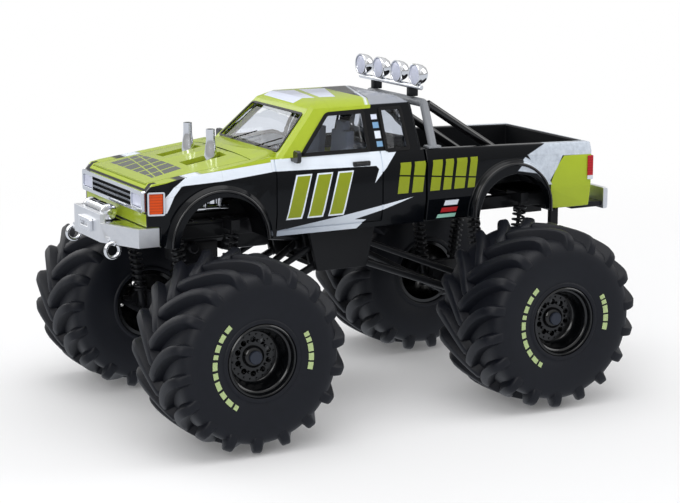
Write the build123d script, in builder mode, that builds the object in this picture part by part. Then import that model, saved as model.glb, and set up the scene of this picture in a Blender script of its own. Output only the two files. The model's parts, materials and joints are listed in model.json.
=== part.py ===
from build123d import *
import math
import os

os.makedirs("parts", exist_ok=True)

# A die-cast 1:43 model of a lifted extended-cab pickup on very large farm-type tyres.
# Millimetres. +X is the truck's left side, -Y its front, +Z up. The origin is on the ground,
# under the middle of the overall length.

# Wheels and axles
tyre_radius = 19.5
tyre_width = 23.4
track_half = 28.7
wheelbase = 71.0
nose_reach = 14.4
bumper_ahead = 7.1
bed_rear_reach = 21.5
bumper_behind = 6.2
front_overhang = nose_reach + bumper_ahead
rear_overhang = bed_rear_reach + bumper_behind
overall_length = front_overhang + wheelbase + rear_overhang
front_end_y = -overall_length / 2
rear_end_y = overall_length / 2
front_axle_y = front_end_y + front_overhang
rear_axle_y = front_axle_y + wheelbase
axle_z = tyre_radius
tyre_inner_x = track_half - tyre_width / 2

# Body heights, carried on the top of the tyres
sill_gap = 0.3
sill_z = 2 * tyre_radius + sill_gap
crease_height = 4.8
shoulder_height = 12.6
belt_height = 15.7
cowl_height = 16.5
hood_front_height = 12.9
grille_top_height = 11.6
nose_bottom_height = 4.3
roof_edge_height = 25.4
roof_top_height = 26.7
crease_z = sill_z + crease_height
shoulder_z = sill_z + shoulder_height
belt_z = sill_z + belt_height
cowl_z = sill_z + cowl_height
hood_front_z = sill_z + hood_front_height
grille_top_z = sill_z + grille_top_height
nose_bottom_z = sill_z + nose_bottom_height
roof_edge_z = sill_z + roof_edge_height
roof_top_z = sill_z + roof_top_height

# Body widths, each from the middle line
body_half = 18.1
sill_half = 17.3
belt_half = 16.9
roof_half = 13.2
nose_half = 16.9
wall = 1.1

# Body lengths, carried by the two axles
cowl_reach = 13.4
bed_front_reach = 21.0
cab_gap = 0.5
door_length = 25.0
door_setback = 0.6
screen_setback = 1.2
screen_run = 9.6
hood_lip = 1.2
nose_taper = 6.0
nose_step = 2.7
nose_y = front_axle_y - nose_reach
cowl_y = front_axle_y + cowl_reach
bed_front_y = rear_axle_y - bed_front_reach
bed_rear_y = rear_axle_y + bed_rear_reach
cab_rear_y = bed_front_y - cab_gap
door_front_y = cowl_y + door_setback
door_rear_y = door_front_y + door_length
screen_base_y = cowl_y + screen_setback
screen_top_y = screen_base_y + screen_run

# Small sizes that serve several pieces
overrun = 2.0
groove = 0.3
groove_depth = 0.25
seat_gap = 0.04
running_gap = 0.05
edge_round = 0.3
spring_sides = 6
small_sides = 8
round_sides = 12
wheel_sides = 18
window_sides = 4

# Wheel arches and their flares, front and rear: the opening's and the flare's centre and radius
flare_proud = 1.2
flare_chamfer = 0.7
arch_inner_x = 11.5
front_arch_radius = 10.1
front_arch_shift = 1.7
front_arch_drop = 0.6
front_flare_radius = 11.9
front_flare_shift = 0.9
rear_arch_radius = 9.4
rear_arch_shift = 0.95
rear_arch_drop = 0.5
rear_flare_radius = 10.6
rear_flare_shift = 0.3
rear_flare_rise = 1.4
front_arch = (front_axle_y + front_arch_shift, sill_z - front_arch_drop)
front_flare = (front_axle_y + front_flare_shift, sill_z)
rear_arch = (rear_axle_y + rear_arch_shift, sill_z - rear_arch_drop)
rear_flare = (rear_axle_y + rear_flare_shift, sill_z + rear_flare_rise)

# Windows
glass_lift = 0.7
glass_drop = 1.2
quarter_drop = 0.3
pillar = 1.5
door_glass_start = 5.6
door_glass_end = 2.6
quarter_end = 3.6
quarter_lean = 0.5
screen_side = 2.6
screen_top_side = 1.4
rear_glass_side = 4.4
rear_glass_lift = 2.4
window_corner = 0.5
glass_thick = 0.7
glass_recess = 0.45

# Hood, with slots for the exhaust stacks
hood_half = 14.3
hood_gap = 0.2
hood_thick = 1.0
hood_crown = 1.2
hood_setback = 4.6
hinge_pin_radius = 0.28
hinge_pin_length = 0.8
stack_x = 5.85
stack_back = 4.7
stack_radius = 0.93
stack_foot_radius = 1.35
stack_height = 21.6
stack_straight = 3.0
slot_x = 6.3
slot_width = 3.8
slot_ahead = 6.5
slot_behind = 2.6
stack_y = front_axle_y + stack_back
stack_top_z = sill_z + stack_height

# Chassis frame
rail_x = 8.8
rail_width = 2.2
rail_height = 2.8
rail_lift = 2.5
rail_top_z = sill_z + rail_lift
rail_low_z = rail_top_z - rail_height
rail_front_y = nose_y + wall
rail_rear_y = bed_rear_y + wall
cross_width = 2.0
bracket_x = 9.8
bracket_width = 2.0
bracket_drop = 2.4
bracket_rise = 4.6

# Rim, axle pin and tyre
rim_lip_x = 40.0
rim_radius = 7.45
rim_wall = 0.8
rim_face_in = 4.6
rim_face_thick = 1.2
hub_radius = 2.0
hub_proud = 1.0
rim_step = 0.8
rim_face_radius = 5.2
pin_radius = 1.0
pin_head_radius = 1.4
pin_head_thick = 0.5
pin_head_gap = 0.1


def save(piece, name):
    """Labels a finished piece and writes it as its own file."""
    piece.label = name
    export_step(piece, f"parts/{name}.step")


def mirrored(points):
    """Closes a half outline over the middle line."""
    return points + [(-u, v) for u, v in reversed(points)]


def profile(plane, points, length, both=False, corner=0.0, inset=0.0):
    """A closed outline on a plane, pulled to a length."""
    with BuildPart() as made:
        with BuildSketch(plane) as face:
            with BuildLine():
                Polyline(*points, close=True)
            make_face()
            if corner:
                chamfer(face.vertices(), corner)
            if inset:
                offset(amount=-inset, kind=Kind.INTERSECTION)
        extrude(amount=length, both=both)
    return made.part


def block(x_low, x_high, y_low, y_high, z_low, z_high):
    """A plain block between two corners."""
    outline = [(x_low, y_low), (x_high, y_low), (x_high, y_high), (x_low, y_high)]
    return profile(Plane.XY.offset(z_low), outline, z_high - z_low)


def rod(start, end, radius, end_radius=None):
    """A straight round bar, or a cone, from one point to the other."""
    line = Vector(*end) - Vector(*start)
    with BuildPart(Plane(origin=start, z_dir=line)) as bar:
        align = (Align.CENTER, Align.CENTER, Align.MIN)
        if end_radius is None:
            Cylinder(radius, line.length, align=align)
        else:
            Cone(radius, end_radius, line.length, align=align)
    return bar.part


def bar(start, end, radius, sides, end_radius=None):
    """A straight bar of many flats, or a taper, from one point to the other."""
    line = Vector(*end) - Vector(*start)
    with BuildPart() as made:
        with BuildSketch(Plane(origin=start, z_dir=line)):
            RegularPolygon(radius, sides)
        if end_radius is None:
            extrude(amount=line.length)
        else:
            with BuildSketch(Plane(origin=end, z_dir=line)):
                RegularPolygon(end_radius, sides)
            loft(ruled=True)
    return made.part


def cut_rectangle(width, height, corner, mode=Mode.ADD):
    """A rectangle with cut corners, in the open sketch."""
    across, up = width / 2, height / 2
    quarter = [(across, up - corner), (across - corner, up)]
    half = quarter + [(-u, v) for u, v in reversed(quarter)]
    Polygon(*half, *[(-u, -v) for u, v in half], align=None, mode=mode)


def turned(stations, sides):
    """A body on the wheel's axis, through stations of a place along X and a radius."""
    with BuildPart() as made:
        for (x, radius), (next_x, next_radius) in zip(stations, stations[1:]):
            with BuildSketch(Plane.YZ.offset(x)):
                RegularPolygon(radius, sides, rotation=180 / sides)
            with BuildSketch(Plane.YZ.offset(next_x)):
                RegularPolygon(next_radius, sides, rotation=180 / sides)
            loft(ruled=True)
    return made.part


# Body shell: the same outlines give the outer skin and, inset by the wall, the hollow.
hood_slope = (cowl_z - hood_front_z) / (cowl_y - nose_y - hood_lip)


def hood_top_z(y):
    """Height of the hood's outer surface at a place along it."""
    return hood_front_z + hood_slope * (y - nose_y - hood_lip)


lower_side = [
    (nose_y, nose_bottom_z),
    (nose_y, grille_top_z),
    (nose_y + hood_lip, hood_front_z),
    (cowl_y, cowl_z),
    (screen_base_y + overrun, belt_z),
    (cab_rear_y, belt_z),
    (cab_rear_y, sill_z),
    (nose_y + nose_step, sill_z),
    (nose_y + nose_step, nose_bottom_z),
]
body_front = mirrored([
    (sill_half, sill_z),
    (body_half, crease_z),
    (body_half, shoulder_z),
    (belt_half, belt_z),
    (belt_half - (cowl_z - belt_z), cowl_z + overrun),
])
nose_plan = mirrored([
    (nose_half, nose_y),
    (body_half + overrun, nose_y + nose_taper + nose_taper),
    (body_half + overrun, cab_rear_y + overrun),
])
bed_side = [
    (bed_front_y, sill_z),
    (bed_front_y, belt_z),
    (bed_rear_y, belt_z - hood_lip),
    (bed_rear_y, sill_z),
]


def body_block(side, plan, inset):
    """A side outline, narrowed by the front section and, at the nose, by the plan."""
    with BuildPart() as made:
        add(profile(Plane.YZ, side, body_half + overrun, both=True, inset=inset))
        add(profile(Plane.XZ, body_front, overall_length, both=True, inset=inset), mode=Mode.INTERSECT)
        if plan:
            add(profile(Plane.XY, plan, roof_top_z + overrun, inset=inset), mode=Mode.INTERSECT)
    return made.part


def level(z, half, y_low, y_high, corner):
    """One level of the greenhouse, a rectangle with cut corners."""
    with BuildSketch(Plane.XY.offset(z)) as face:
        with Locations((0, (y_low + y_high) / 2)):
            Rectangle(2 * half, y_high - y_low)
        chamfer(face.vertices(), corner)
    return face.sketch


pillar_round = 0.9
roof_crown_in = 2.4
roof_rear_lean = 0.8


def greenhouse(inset):
    """Pillars and roof: three levels, lofted."""
    rise = roof_edge_z - belt_z
    side_lean = (belt_half - roof_half) / rise
    screen_lean = screen_run / rise
    corner = pillar_round - inset / 3
    crown = roof_crown_in + inset / 2
    low = level(belt_z - wall, belt_half + side_lean * wall - inset,
                screen_base_y - screen_lean * wall + inset, cab_rear_y - inset, corner)
    edge = level(roof_edge_z - inset / 2, roof_half - inset, screen_top_y + inset,
                 cab_rear_y - roof_rear_lean - inset, corner)
    top = level(roof_top_z - inset, roof_half - crown, screen_top_y + crown,
                cab_rear_y - roof_rear_lean - crown, corner)
    with BuildPart() as made:
        loft([low, edge], ruled=True)
        loft([edge, top], ruled=True)
    return made.part


# Windows, as outlines in the side and front views
glass_low_z = belt_z + glass_lift
glass_high_z = roof_edge_z - glass_drop
screen_slope = screen_run / (roof_edge_z - belt_z)
door_glass = [
    (screen_base_y + door_glass_start, glass_low_z),
    (screen_base_y + door_glass_start + screen_slope * (glass_high_z - glass_low_z), glass_high_z),
    (door_rear_y - door_glass_end, glass_high_z),
    (door_rear_y - door_glass_end, glass_low_z),
]
quarter_glass = [
    (door_rear_y + pillar, glass_low_z - quarter_drop),
    (door_rear_y + pillar, glass_high_z + quarter_drop),
    (cab_rear_y - quarter_end - quarter_lean, glass_high_z + quarter_drop),
    (cab_rear_y - quarter_end, glass_low_z - quarter_drop),
]
screen_glass = mirrored([(belt_half - screen_side, cowl_z + glass_lift),
                         (roof_half - screen_top_side, glass_high_z)])
rear_glass = mirrored([(belt_half - rear_glass_side, belt_z + rear_glass_lift),
                       (roof_half - screen_side, glass_high_z)])


def window_prisms(inset):
    """The window shapes, as prisms through the greenhouse walls."""
    middle_y = (screen_top_y + cab_rear_y) / 2
    across = Plane.YZ.offset(-body_half)
    ahead = Plane.XZ.offset(-middle_y)
    behind = Plane.XZ.offset(-cab_rear_y - overrun)
    return [
        profile(across, door_glass, 2 * body_half, corner=window_corner, inset=inset),
        profile(across, quarter_glass, 2 * body_half, corner=window_corner, inset=inset),
        profile(ahead, screen_glass, middle_y - nose_y, corner=window_corner, inset=inset),
        profile(behind, rear_glass, cab_rear_y + overrun - middle_y, corner=window_corner, inset=inset),
    ]


def arch_cut(place, radius, inner_x):
    """The round opening over a wheel, from inside the truck out through both sides."""
    with BuildPart() as made:
        with BuildSketch(Plane.YZ.offset(inner_x)):
            with Locations(place):
                Circle(radius)
        extrude(amount=body_half)
        mirror(about=Plane.YZ)
    return made.part


def flares(place, radius, arch_place, arch_radius):
    """The rolled lips round one pair of wheel arches, with straight legs below their middle."""
    inner_x = sill_half - wall / 2
    y, z = place
    with BuildPart() as made:
        with BuildSketch(Plane.YZ.offset(inner_x)) as face:
            with Locations(place):
                Circle(radius)
            with Locations((y, z - radius / 2)):
                Rectangle(2 * radius, radius)
            with Locations(arch_place):
                Circle(arch_radius, mode=Mode.SUBTRACT)
            with Locations((y, sill_z - radius)):
                Rectangle(2 * radius + overrun, 2 * radius, mode=Mode.SUBTRACT)
        extrude(amount=body_half + flare_proud - inner_x)
        arcs = made.faces().sort_by(Axis.X)[-1].edges().filter_by(GeomType.CIRCLE)
        chamfer(arcs.sort_by(SortBy.RADIUS)[-1], flare_chamfer)
        mirror(about=Plane.YZ)
    return made.part


def rail_room():
    """The way that the frame rails take through the cross walls of cab and bed."""
    with BuildPart() as made:
        for side in (-1, 1):
            add(block(side * rail_x - rail_width / 2 - seat_gap, side * rail_x + rail_width / 2 + seat_gap,
                      front_end_y, rear_end_y, rail_low_z - overrun, rail_top_z + seat_gap))
    return made.part


def panel_lines(places, low_z, high_z):
    """Upright slabs that mark shut lines in both sides."""
    reach = body_half + overrun
    return [block(-reach, reach, y - groove / 2, y + groove / 2, low_z, high_z) for y in places]


# Cab shell with nose, fenders, doors and roof
door_low_z = sill_z + groove + wall
line_core = body_block(lower_side, nose_plan, groove_depth)
hood_front_y = nose_y + hood_lip - hood_gap
hood_rear_y = cowl_y - hood_setback
grille_height = 4.4
grille_half = 16.6
grille_low_z = grille_top_z - grille_height
marker_length = 2.8
hinge_y = hood_rear_y - hood_thick / 2
hinge_z = hood_top_z(hinge_y) - hood_thick / 2


def crown(y):
    """How far the middle of the hood and the cowl stands above their edges, at a place along them."""
    return hood_crown * (y - hood_front_y) / (screen_base_y - hood_front_y)


def crowned(y_front, y_rear, half, low_drop):
    """A panel that follows the hood's slope and its crown, between two places along it."""
    with BuildPart() as made:
        for y in (y_front, y_rear):
            edge_z = hood_top_z(y)
            low_z = edge_z - low_drop
            with BuildSketch(Plane.XZ.offset(-y)):
                with BuildLine():
                    ThreePointArc((-half, edge_z), (0, edge_z + max(crown(y), seat_gap)), (half, edge_z))
                    Polyline((half, edge_z), (half, low_z), (-half, low_z), (-half, edge_z))
                make_face()
        loft(ruled=True)
    return made.part


hinge_sweep = hood_thick / 2 + crown(hinge_y)


def hinge_bar(radius, half):
    """A round bar on the hood's hinge line."""
    return rod((-half, hinge_y, hinge_z), (half, hinge_y, hinge_z), radius)


with BuildPart() as door_marks:
    add(panel_lines((door_front_y, door_rear_y), door_low_z, belt_z + groove))
    add(block(-body_half - overrun, body_half + overrun, door_front_y, door_rear_y,
              door_low_z - groove, door_low_z))
    add(line_core, mode=Mode.SUBTRACT)

with BuildPart() as cab_body:
    add(body_block(lower_side, nose_plan, 0))
    add(greenhouse(0))
    add(crowned(hinge_y, screen_base_y + wall, hood_half + hood_gap, wall))
    add(flares(front_flare, front_flare_radius, front_arch, front_arch_radius))
    add(body_block(lower_side, nose_plan, wall), mode=Mode.SUBTRACT)
    add(greenhouse(wall), mode=Mode.SUBTRACT)
    add(window_prisms(0), mode=Mode.SUBTRACT)
    add(arch_cut(front_arch, front_arch_radius, arch_inner_x), mode=Mode.SUBTRACT)
    add(block(-sill_half + wall, sill_half - wall, nose_y + wall, cab_rear_y - wall,
              sill_z - overrun, sill_z + 2 * wall), mode=Mode.SUBTRACT)
    # the hood's opening, and the way for its hinge pins
    add(block(-hood_half - hood_gap, hood_half + hood_gap, hood_front_y - hood_gap, hinge_y,
              hood_front_z - wall - hood_thick, roof_edge_z), mode=Mode.SUBTRACT)
    add(hinge_bar(hinge_sweep + hood_gap, hood_half + hood_gap), mode=Mode.SUBTRACT)
    add(hinge_bar(hinge_pin_radius + running_gap, hood_half + hood_gap + hinge_pin_length),
        mode=Mode.SUBTRACT)
    add(rail_room(), mode=Mode.SUBTRACT)
    add(door_marks.part, mode=Mode.SUBTRACT)
save(cab_body.part, "cab_body")

# Hood plate: crowned, rounded about its hinge line at the rear, with slots for the stacks
with BuildPart() as hood_room:
    add(block(-hood_half, hood_half, hood_front_y, hinge_y, hood_front_z - overrun, roof_edge_z))
    add(hinge_bar(hinge_sweep, hood_half))

with BuildPart() as hood:
    add(crowned(hood_front_y, hinge_y + hinge_sweep, hood_half, hood_thick))
    add(crowned(hood_front_y - wall, hinge_y + hinge_sweep + wall, hood_half - wall, hood_thick)
        .moved(Location((0, 0, -hood_thick))), mode=Mode.SUBTRACT)
    add(hood_room.part, mode=Mode.INTERSECT)
    with BuildSketch(Plane.XY.offset(hood_front_z - overrun)):
        with Locations((slot_x, stack_y - (slot_ahead - slot_behind) / 2),
                       (-slot_x, stack_y - (slot_ahead - slot_behind) / 2)):
            Rectangle(slot_width, slot_ahead + slot_behind)
    extrude(amount=cowl_z, mode=Mode.SUBTRACT)
    add(hinge_bar(hinge_pin_radius, hood_half + hood_gap + hinge_pin_length - seat_gap))
save(hood.part, "hood")

# Bed: outer shell, tub pocket from above, hollow from below, wheel housings inside
tub_half = 15.0
tub_front_wall = 1.2
tailgate_thick = 1.6
floor_height = 6.5
floor_thick = 1.0
housing_half = 9.6
housing_wall = 0.8
tailgate_half = 14.4
floor_z = sill_z + floor_height

with BuildPart() as bed_lines:
    for side_x in (-tailgate_half, tailgate_half):
        add(block(side_x - groove / 2, side_x + groove / 2, bed_rear_y - groove_depth, bed_rear_y + overrun,
                  sill_z + nose_bottom_height, belt_z + overrun))

with BuildPart() as under_hollow:
    add(body_block(bed_side, None, wall))
    split(bisect_by=Plane.XY.offset(floor_z - floor_thick), keep=Keep.BOTTOM)
    add(block(-sill_half + wall, sill_half - wall, bed_front_y + wall, bed_rear_y - nose_taper - wall,
              sill_z - overrun, sill_z + 2 * wall))

with BuildPart() as housings:
    with BuildSketch(Plane.YZ.offset(housing_half)):
        with Locations(rear_arch):
            Circle(rear_arch_radius + housing_wall)
        with Locations((rear_axle_y + rear_arch_shift, floor_z - floor_thick - rear_arch_radius)):
            Rectangle(4 * rear_arch_radius, 2 * rear_arch_radius, mode=Mode.SUBTRACT)
    extrude(amount=body_half - wall / 2 - housing_half)
    mirror(about=Plane.YZ)

with BuildPart() as bed_body:
    add(body_block(bed_side, None, 0))
    add(flares(rear_flare, rear_flare_radius, rear_arch, rear_arch_radius))
    add(block(-tub_half, tub_half, bed_front_y + tub_front_wall, bed_rear_y - tailgate_thick,
              floor_z, belt_z + overrun), mode=Mode.SUBTRACT)
    add(under_hollow.part, mode=Mode.SUBTRACT)
    add(housings.part)
    add(arch_cut(rear_arch, rear_arch_radius, housing_half + housing_wall), mode=Mode.SUBTRACT)
    add(rail_room(), mode=Mode.SUBTRACT)
    add(bed_lines.part, mode=Mode.SUBTRACT)
save(bed_body.part, "bed_body")

# Window insert: one clear shell inside the roof, with panes that fill the openings
shell_inset = wall + seat_gap
with BuildPart() as pane_band:
    add(greenhouse(glass_recess))
    add(greenhouse(shell_inset + glass_thick / 2), mode=Mode.SUBTRACT)

with BuildPart() as panes:
    for prism in window_prisms(seat_gap):
        add(prism)
    add(pane_band.part, mode=Mode.INTERSECT)

with BuildPart() as glazing:
    add(greenhouse(shell_inset))
    add(greenhouse(shell_inset + glass_thick), mode=Mode.SUBTRACT)
    split(bisect_by=Plane.XY.offset(cowl_z - glass_lift), keep=Keep.TOP)
    add(panes.part)
save(glazing.part, "glazing")

# Seats and dash on one tray
tray_height = 8.0
tray_thick = 0.8
tray_half = 14.6
seat_width = 7.2
seat_x = 6.4
seat_depth = 6.0
seat_height = 4.2
back_height = 11.6
back_thick = 1.8
head_half = 1.6
head_height = 2.0
dash_depth = 5.0
dash_height = 6.0
bench_depth = 3.6
bench_height = 7.0
tray_z = sill_z + tray_height
tray_front_y = cowl_y + wall
tray_rear_y = cab_rear_y - wall - seat_gap
seat_back_y = door_rear_y - door_glass_end - back_thick
dash_top = tray_z + dash_height

with BuildPart() as seats:
    add(block(-tray_half, tray_half, tray_front_y, tray_rear_y, tray_z, tray_z + tray_thick))
    add(block(-tray_half, tray_half, tray_front_y, tray_front_y + dash_depth, tray_z, dash_top))
    for side in (-1, 1):
        middle = side * seat_x
        add(block(middle - seat_width / 2, middle + seat_width / 2, seat_back_y - seat_depth,
                  seat_back_y + back_thick, tray_z, tray_z + seat_height))
        add(block(middle - seat_width / 2, middle + seat_width / 2, seat_back_y, seat_back_y + back_thick,
                  tray_z, tray_z + back_height))
        add(block(middle - head_half, middle + head_half, seat_back_y, seat_back_y + back_thick,
                  tray_z, tray_z + back_height + head_height))
    add(block(-tray_half, tray_half, tray_rear_y - bench_depth, tray_rear_y, tray_z, tray_z + bench_height))
save(seats.part, "seats")

# Steering wheel on a raked column, set in the dash
steer_radius = 2.1
steer_rim = 0.3
steer_rise = 6.6
steer_out = 1.6
steer_tilt = 62
column_radius = 0.4
steer_center = (seat_x, tray_front_y + dash_depth + steer_out, tray_z + steer_rise)
steer_plane = Plane(origin=steer_center, x_dir=(1, 0, 0),
                    z_dir=(0, math.sin(math.radians(steer_tilt)), math.cos(math.radians(steer_tilt))))
with BuildPart() as steering_wheel:
    with BuildSketch(steer_plane):
        RegularPolygon(steer_radius, round_sides)
        RegularPolygon(steer_radius - 2 * steer_rim, round_sides, mode=Mode.SUBTRACT)
        with PolarLocations(steer_radius / 2 - steer_rim / 2, 3, start_angle=90):
            Rectangle(steer_radius - steer_rim, 2 * steer_rim)
    extrude(amount=steer_rim, both=True)
    with BuildSketch(steer_plane):
        RegularPolygon(column_radius, small_sides)
    extrude(amount=-2 * steer_out)
    add(block(-body_half, body_half, tray_front_y, tray_front_y + dash_depth + seat_gap,
              tray_z, dash_top + overrun), mode=Mode.SUBTRACT)
save(steering_wheel.part, "steering_wheel")

# Grille: a frame with two bars across, over the nose
grille_thick = 0.9
grille_opening_half = 10.6
grille_border = 0.55
grille_bar = 0.45
lamp_half_width = 2.6
lamp_half_height = 1.3
lamp_x = grille_half - grille_border - lamp_half_width
lamp_z = (grille_top_z + grille_low_z) / 2
grille_face_y = nose_y - seat_gap
with BuildPart() as grille:
    with BuildSketch(Plane.XZ.offset(-grille_face_y)):
        with Locations((0, lamp_z)):
            cut_rectangle(2 * grille_half, grille_height, edge_round)
        pitch = (grille_height - 2 * grille_border) / 3
        for step in (-1, 0, 1):
            with Locations((0, lamp_z + step * pitch)):
                Rectangle(2 * grille_opening_half, pitch - grille_bar, mode=Mode.SUBTRACT)
        with Locations((lamp_x, lamp_z), (-lamp_x, lamp_z)):
            cut_rectangle(2 * lamp_half_width, 2 * lamp_half_height, edge_round, mode=Mode.SUBTRACT)
    extrude(amount=grille_thick)
save(grille.part, "grille")

with BuildPart() as headlamps:
    with BuildSketch(Plane.XZ.offset(-grille_face_y)):
        with Locations((lamp_x, lamp_z), (-lamp_x, lamp_z)):
            cut_rectangle(2 * (lamp_half_width - seat_gap), 2 * (lamp_half_height - seat_gap), edge_round)
    extrude(amount=grille_thick - groove)
save(headlamps.part, "headlamps")

# Marker lamps, wrapped round the front corners on the fender sides
marker_thick = 0.5
marker_back = 0.4
marker_height = 4.2
marker_drop = 0.3
marker_turn = math.atan2(body_half + overrun - nose_half, 2 * nose_taper)
marker_plane = Plane(origin=(nose_half, nose_y, lamp_z),
                     x_dir=(math.sin(marker_turn), math.cos(marker_turn), 0),
                     z_dir=(math.cos(marker_turn), -math.sin(marker_turn), 0))
with BuildPart() as marker_lamps:
    with BuildSketch(marker_plane):
        with Locations((marker_back + marker_length / 2, -marker_drop)):
            cut_rectangle(marker_length, marker_height, edge_round)
    extrude(amount=marker_thick)
    mirror(about=Plane.YZ)
    add(body_block(lower_side, nose_plan, 0), mode=Mode.SUBTRACT)
save(marker_lamps.part, "marker_lamps")

# Chassis frame: two rails, crossmembers and the outriggers that carry the shocks
shock_spread = 6.4
shock_x = 12.5
outrigger_x = 14.2
outrigger_length = 6.0
member_places = (front_axle_y + shock_spread + 2 * cross_width,
                 front_axle_y + 2 * cowl_reach, cab_rear_y - wall - cross_width,
                 rear_axle_y - shock_spread - cross_width, bed_rear_y - nose_taper - 2 * cross_width)
with BuildPart() as frame:
    for side in (-1, 1):
        add(block(side * rail_x - rail_width / 2, side * rail_x + rail_width / 2, rail_front_y, rail_rear_y,
                  rail_low_z, rail_top_z))
    for y in member_places:
        add(block(-rail_x, rail_x, y - cross_width / 2, y + cross_width / 2, rail_low_z, rail_top_z - wall))
    for axle_y in (front_axle_y, rear_axle_y):
        for side in (-1, 1):
            y = axle_y + side * shock_spread
            outrigger_middle = outrigger_x - outrigger_length / 2
            with BuildSketch(Plane.XY.offset(rail_top_z - wall)):
                with Locations((outrigger_middle, y), (-outrigger_middle, y)):
                    Rectangle(outrigger_length, cross_width)
            extrude(amount=2 * wall)
save(frame.part, "frame")

# Front bumper: a bent plate, taller in the middle, on brackets to the rails
bumper_flat_half = 7.3
bumper_corner_x = 17.2
bumper_sweep = 4.4
bumper_side = 4.5
bumper_thick = 1.2
bumper_rise = 0.2
bumper_low_z = sill_z + bumper_rise
bumper_height = 3.9
bumper_mid_height = 5.8
winch_radius = 1.7
winch_drum_radius = 1.2
winch_half = 5.6
winch_end = 1.5
hook_x = 11.0
hook_radius = 1.9
hook_thick = 0.8
hook_width = 1.1
hook_drop = 1.1
fairlead_thick = 0.7
bumper_y = front_end_y + fairlead_thick + seat_gap
bumper_plan = [
    (-bumper_corner_x, bumper_y + bumper_sweep + bumper_side),
    (-bumper_corner_x, bumper_y + bumper_sweep),
    (-bumper_flat_half, bumper_y),
    (bumper_flat_half, bumper_y),
    (bumper_corner_x, bumper_y + bumper_sweep),
    (bumper_corner_x, bumper_y + bumper_sweep + bumper_side),
]
with BuildPart() as front_bumper:
    with BuildSketch(Plane.XY.offset(bumper_low_z)):
        with BuildLine():
            Polyline(*bumper_plan)
            offset(amount=bumper_thick, side=Side.LEFT, kind=Kind.INTERSECTION, closed=True)
        make_face()
    extrude(amount=bumper_height)
    add(block(-bumper_flat_half, bumper_flat_half, bumper_y, bumper_y + bumper_thick,
              bumper_low_z, bumper_low_z + bumper_mid_height))
    for side in (-1, 1):
        add(block(side * rail_x - rail_width / 2, side * rail_x + rail_width / 2, bumper_y + bumper_thick / 2,
                  rail_front_y - seat_gap, bumper_low_z, bumper_low_z + rail_height / 2))
save(front_bumper.part, "front_bumper")

# Winch on the bumper's middle: a drum between two housings, with its fairlead on the front
fairlead_half = 3.4
fairlead_height = 2.6
winch_y = bumper_y + bumper_thick + winch_radius
winch_z = bumper_low_z + bumper_height + winch_radius + seat_gap
with BuildPart() as winch:
    add(bar((-winch_half, winch_y, winch_z), (winch_half, winch_y, winch_z), winch_drum_radius, round_sides))
    for side in (-1, 1):
        inner = side * (winch_half - winch_end)
        add(bar((inner, winch_y, winch_z), (side * winch_half, winch_y, winch_z), winch_radius, round_sides))
save(winch.part, "winch")

with BuildPart() as fairlead:
    with BuildSketch(Plane.XZ.offset(seat_gap - bumper_y)):
        with Locations((0, bumper_low_z + bumper_mid_height / 2)):
            cut_rectangle(2 * fairlead_half, fairlead_height, edge_round)
            Rectangle(2 * fairlead_half - fairlead_height, fairlead_height / 3, mode=Mode.SUBTRACT)
    extrude(amount=fairlead_thick)
save(fairlead.part, "fairlead")

# Tow rings, set on the bumper's lower edge
hook_y = front_end_y + hook_radius
with BuildPart() as tow_hooks:
    for side in (-1, 1):
        with BuildSketch(Plane.YZ.offset(side * hook_x - hook_width / 2)):
            with Locations((hook_y, bumper_low_z - hook_drop)):
                RegularPolygon(hook_radius, round_sides)
                RegularPolygon(hook_radius - hook_thick, round_sides, mode=Mode.SUBTRACT)
        extrude(amount=hook_width)
    add(front_bumper.part, mode=Mode.SUBTRACT)
save(tow_hooks.part, "tow_hooks")

# Door mirrors: a shell on a short arm
mirror_width = 2.2
mirror_height = 2.6
mirror_depth = 0.9
mirror_arm = 1.1
mirror_back = 3.6
mirror_y = screen_base_y + mirror_back
mirror_z = belt_z
mirror_x = belt_half - seat_gap / 2
with BuildPart() as mirrors:
    with BuildSketch(Plane.XZ.offset(-mirror_y - mirror_depth / 2)):
        with Locations((mirror_x + mirror_arm + mirror_width / 2, mirror_z + mirror_height / 3)):
            cut_rectangle(mirror_width, mirror_height, mirror_depth / 2)
    extrude(amount=mirror_depth)
    add(block(mirror_x - wall / 2, mirror_x + mirror_arm + wall / 2, mirror_y - mirror_depth / 2,
              mirror_y + mirror_depth / 2, mirror_z - groove, mirror_z + mirror_depth / 2))
    add(greenhouse(0), mode=Mode.SUBTRACT)
    add(body_block(lower_side, nose_plan, 0), mode=Mode.SUBTRACT)
    mirror(about=Plane.YZ)
save(mirrors.part, "mirrors")

# Roll hoop behind the cab, standing on the bed rails
tube_radius = 0.95
hoop_foot_x = 16.0
hoop_top_x = 12.8
hoop_setback = 2.4
hoop_height = 25.9
hoop_y = bed_front_y + hoop_setback
hoop_top_z = sill_z + hoop_height
hoop_bend = 2.0
hoop_foot_z = belt_z + seat_gap
hoop_points = [(hoop_foot_x, hoop_foot_z), (hoop_top_x, hoop_top_z), (-hoop_top_x, hoop_top_z),
               (-hoop_foot_x, hoop_foot_z)]
with BuildPart() as roll_hoop:
    with BuildLine(Plane.XZ.offset(-hoop_y)) as hoop_path:
        FilletPolyline(*hoop_points, radius=hoop_bend)
    with BuildSketch(Plane(origin=hoop_path.line @ 0, x_dir=(0, 1, 0), z_dir=hoop_path.line % 0)):
        RegularPolygon(tube_radius, small_sides, rotation=180 / small_sides)
    sweep()
    split(bisect_by=Plane.XY.offset(hoop_foot_z), keep=Keep.TOP)
save(roll_hoop.part, "roll_hoop")

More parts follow.
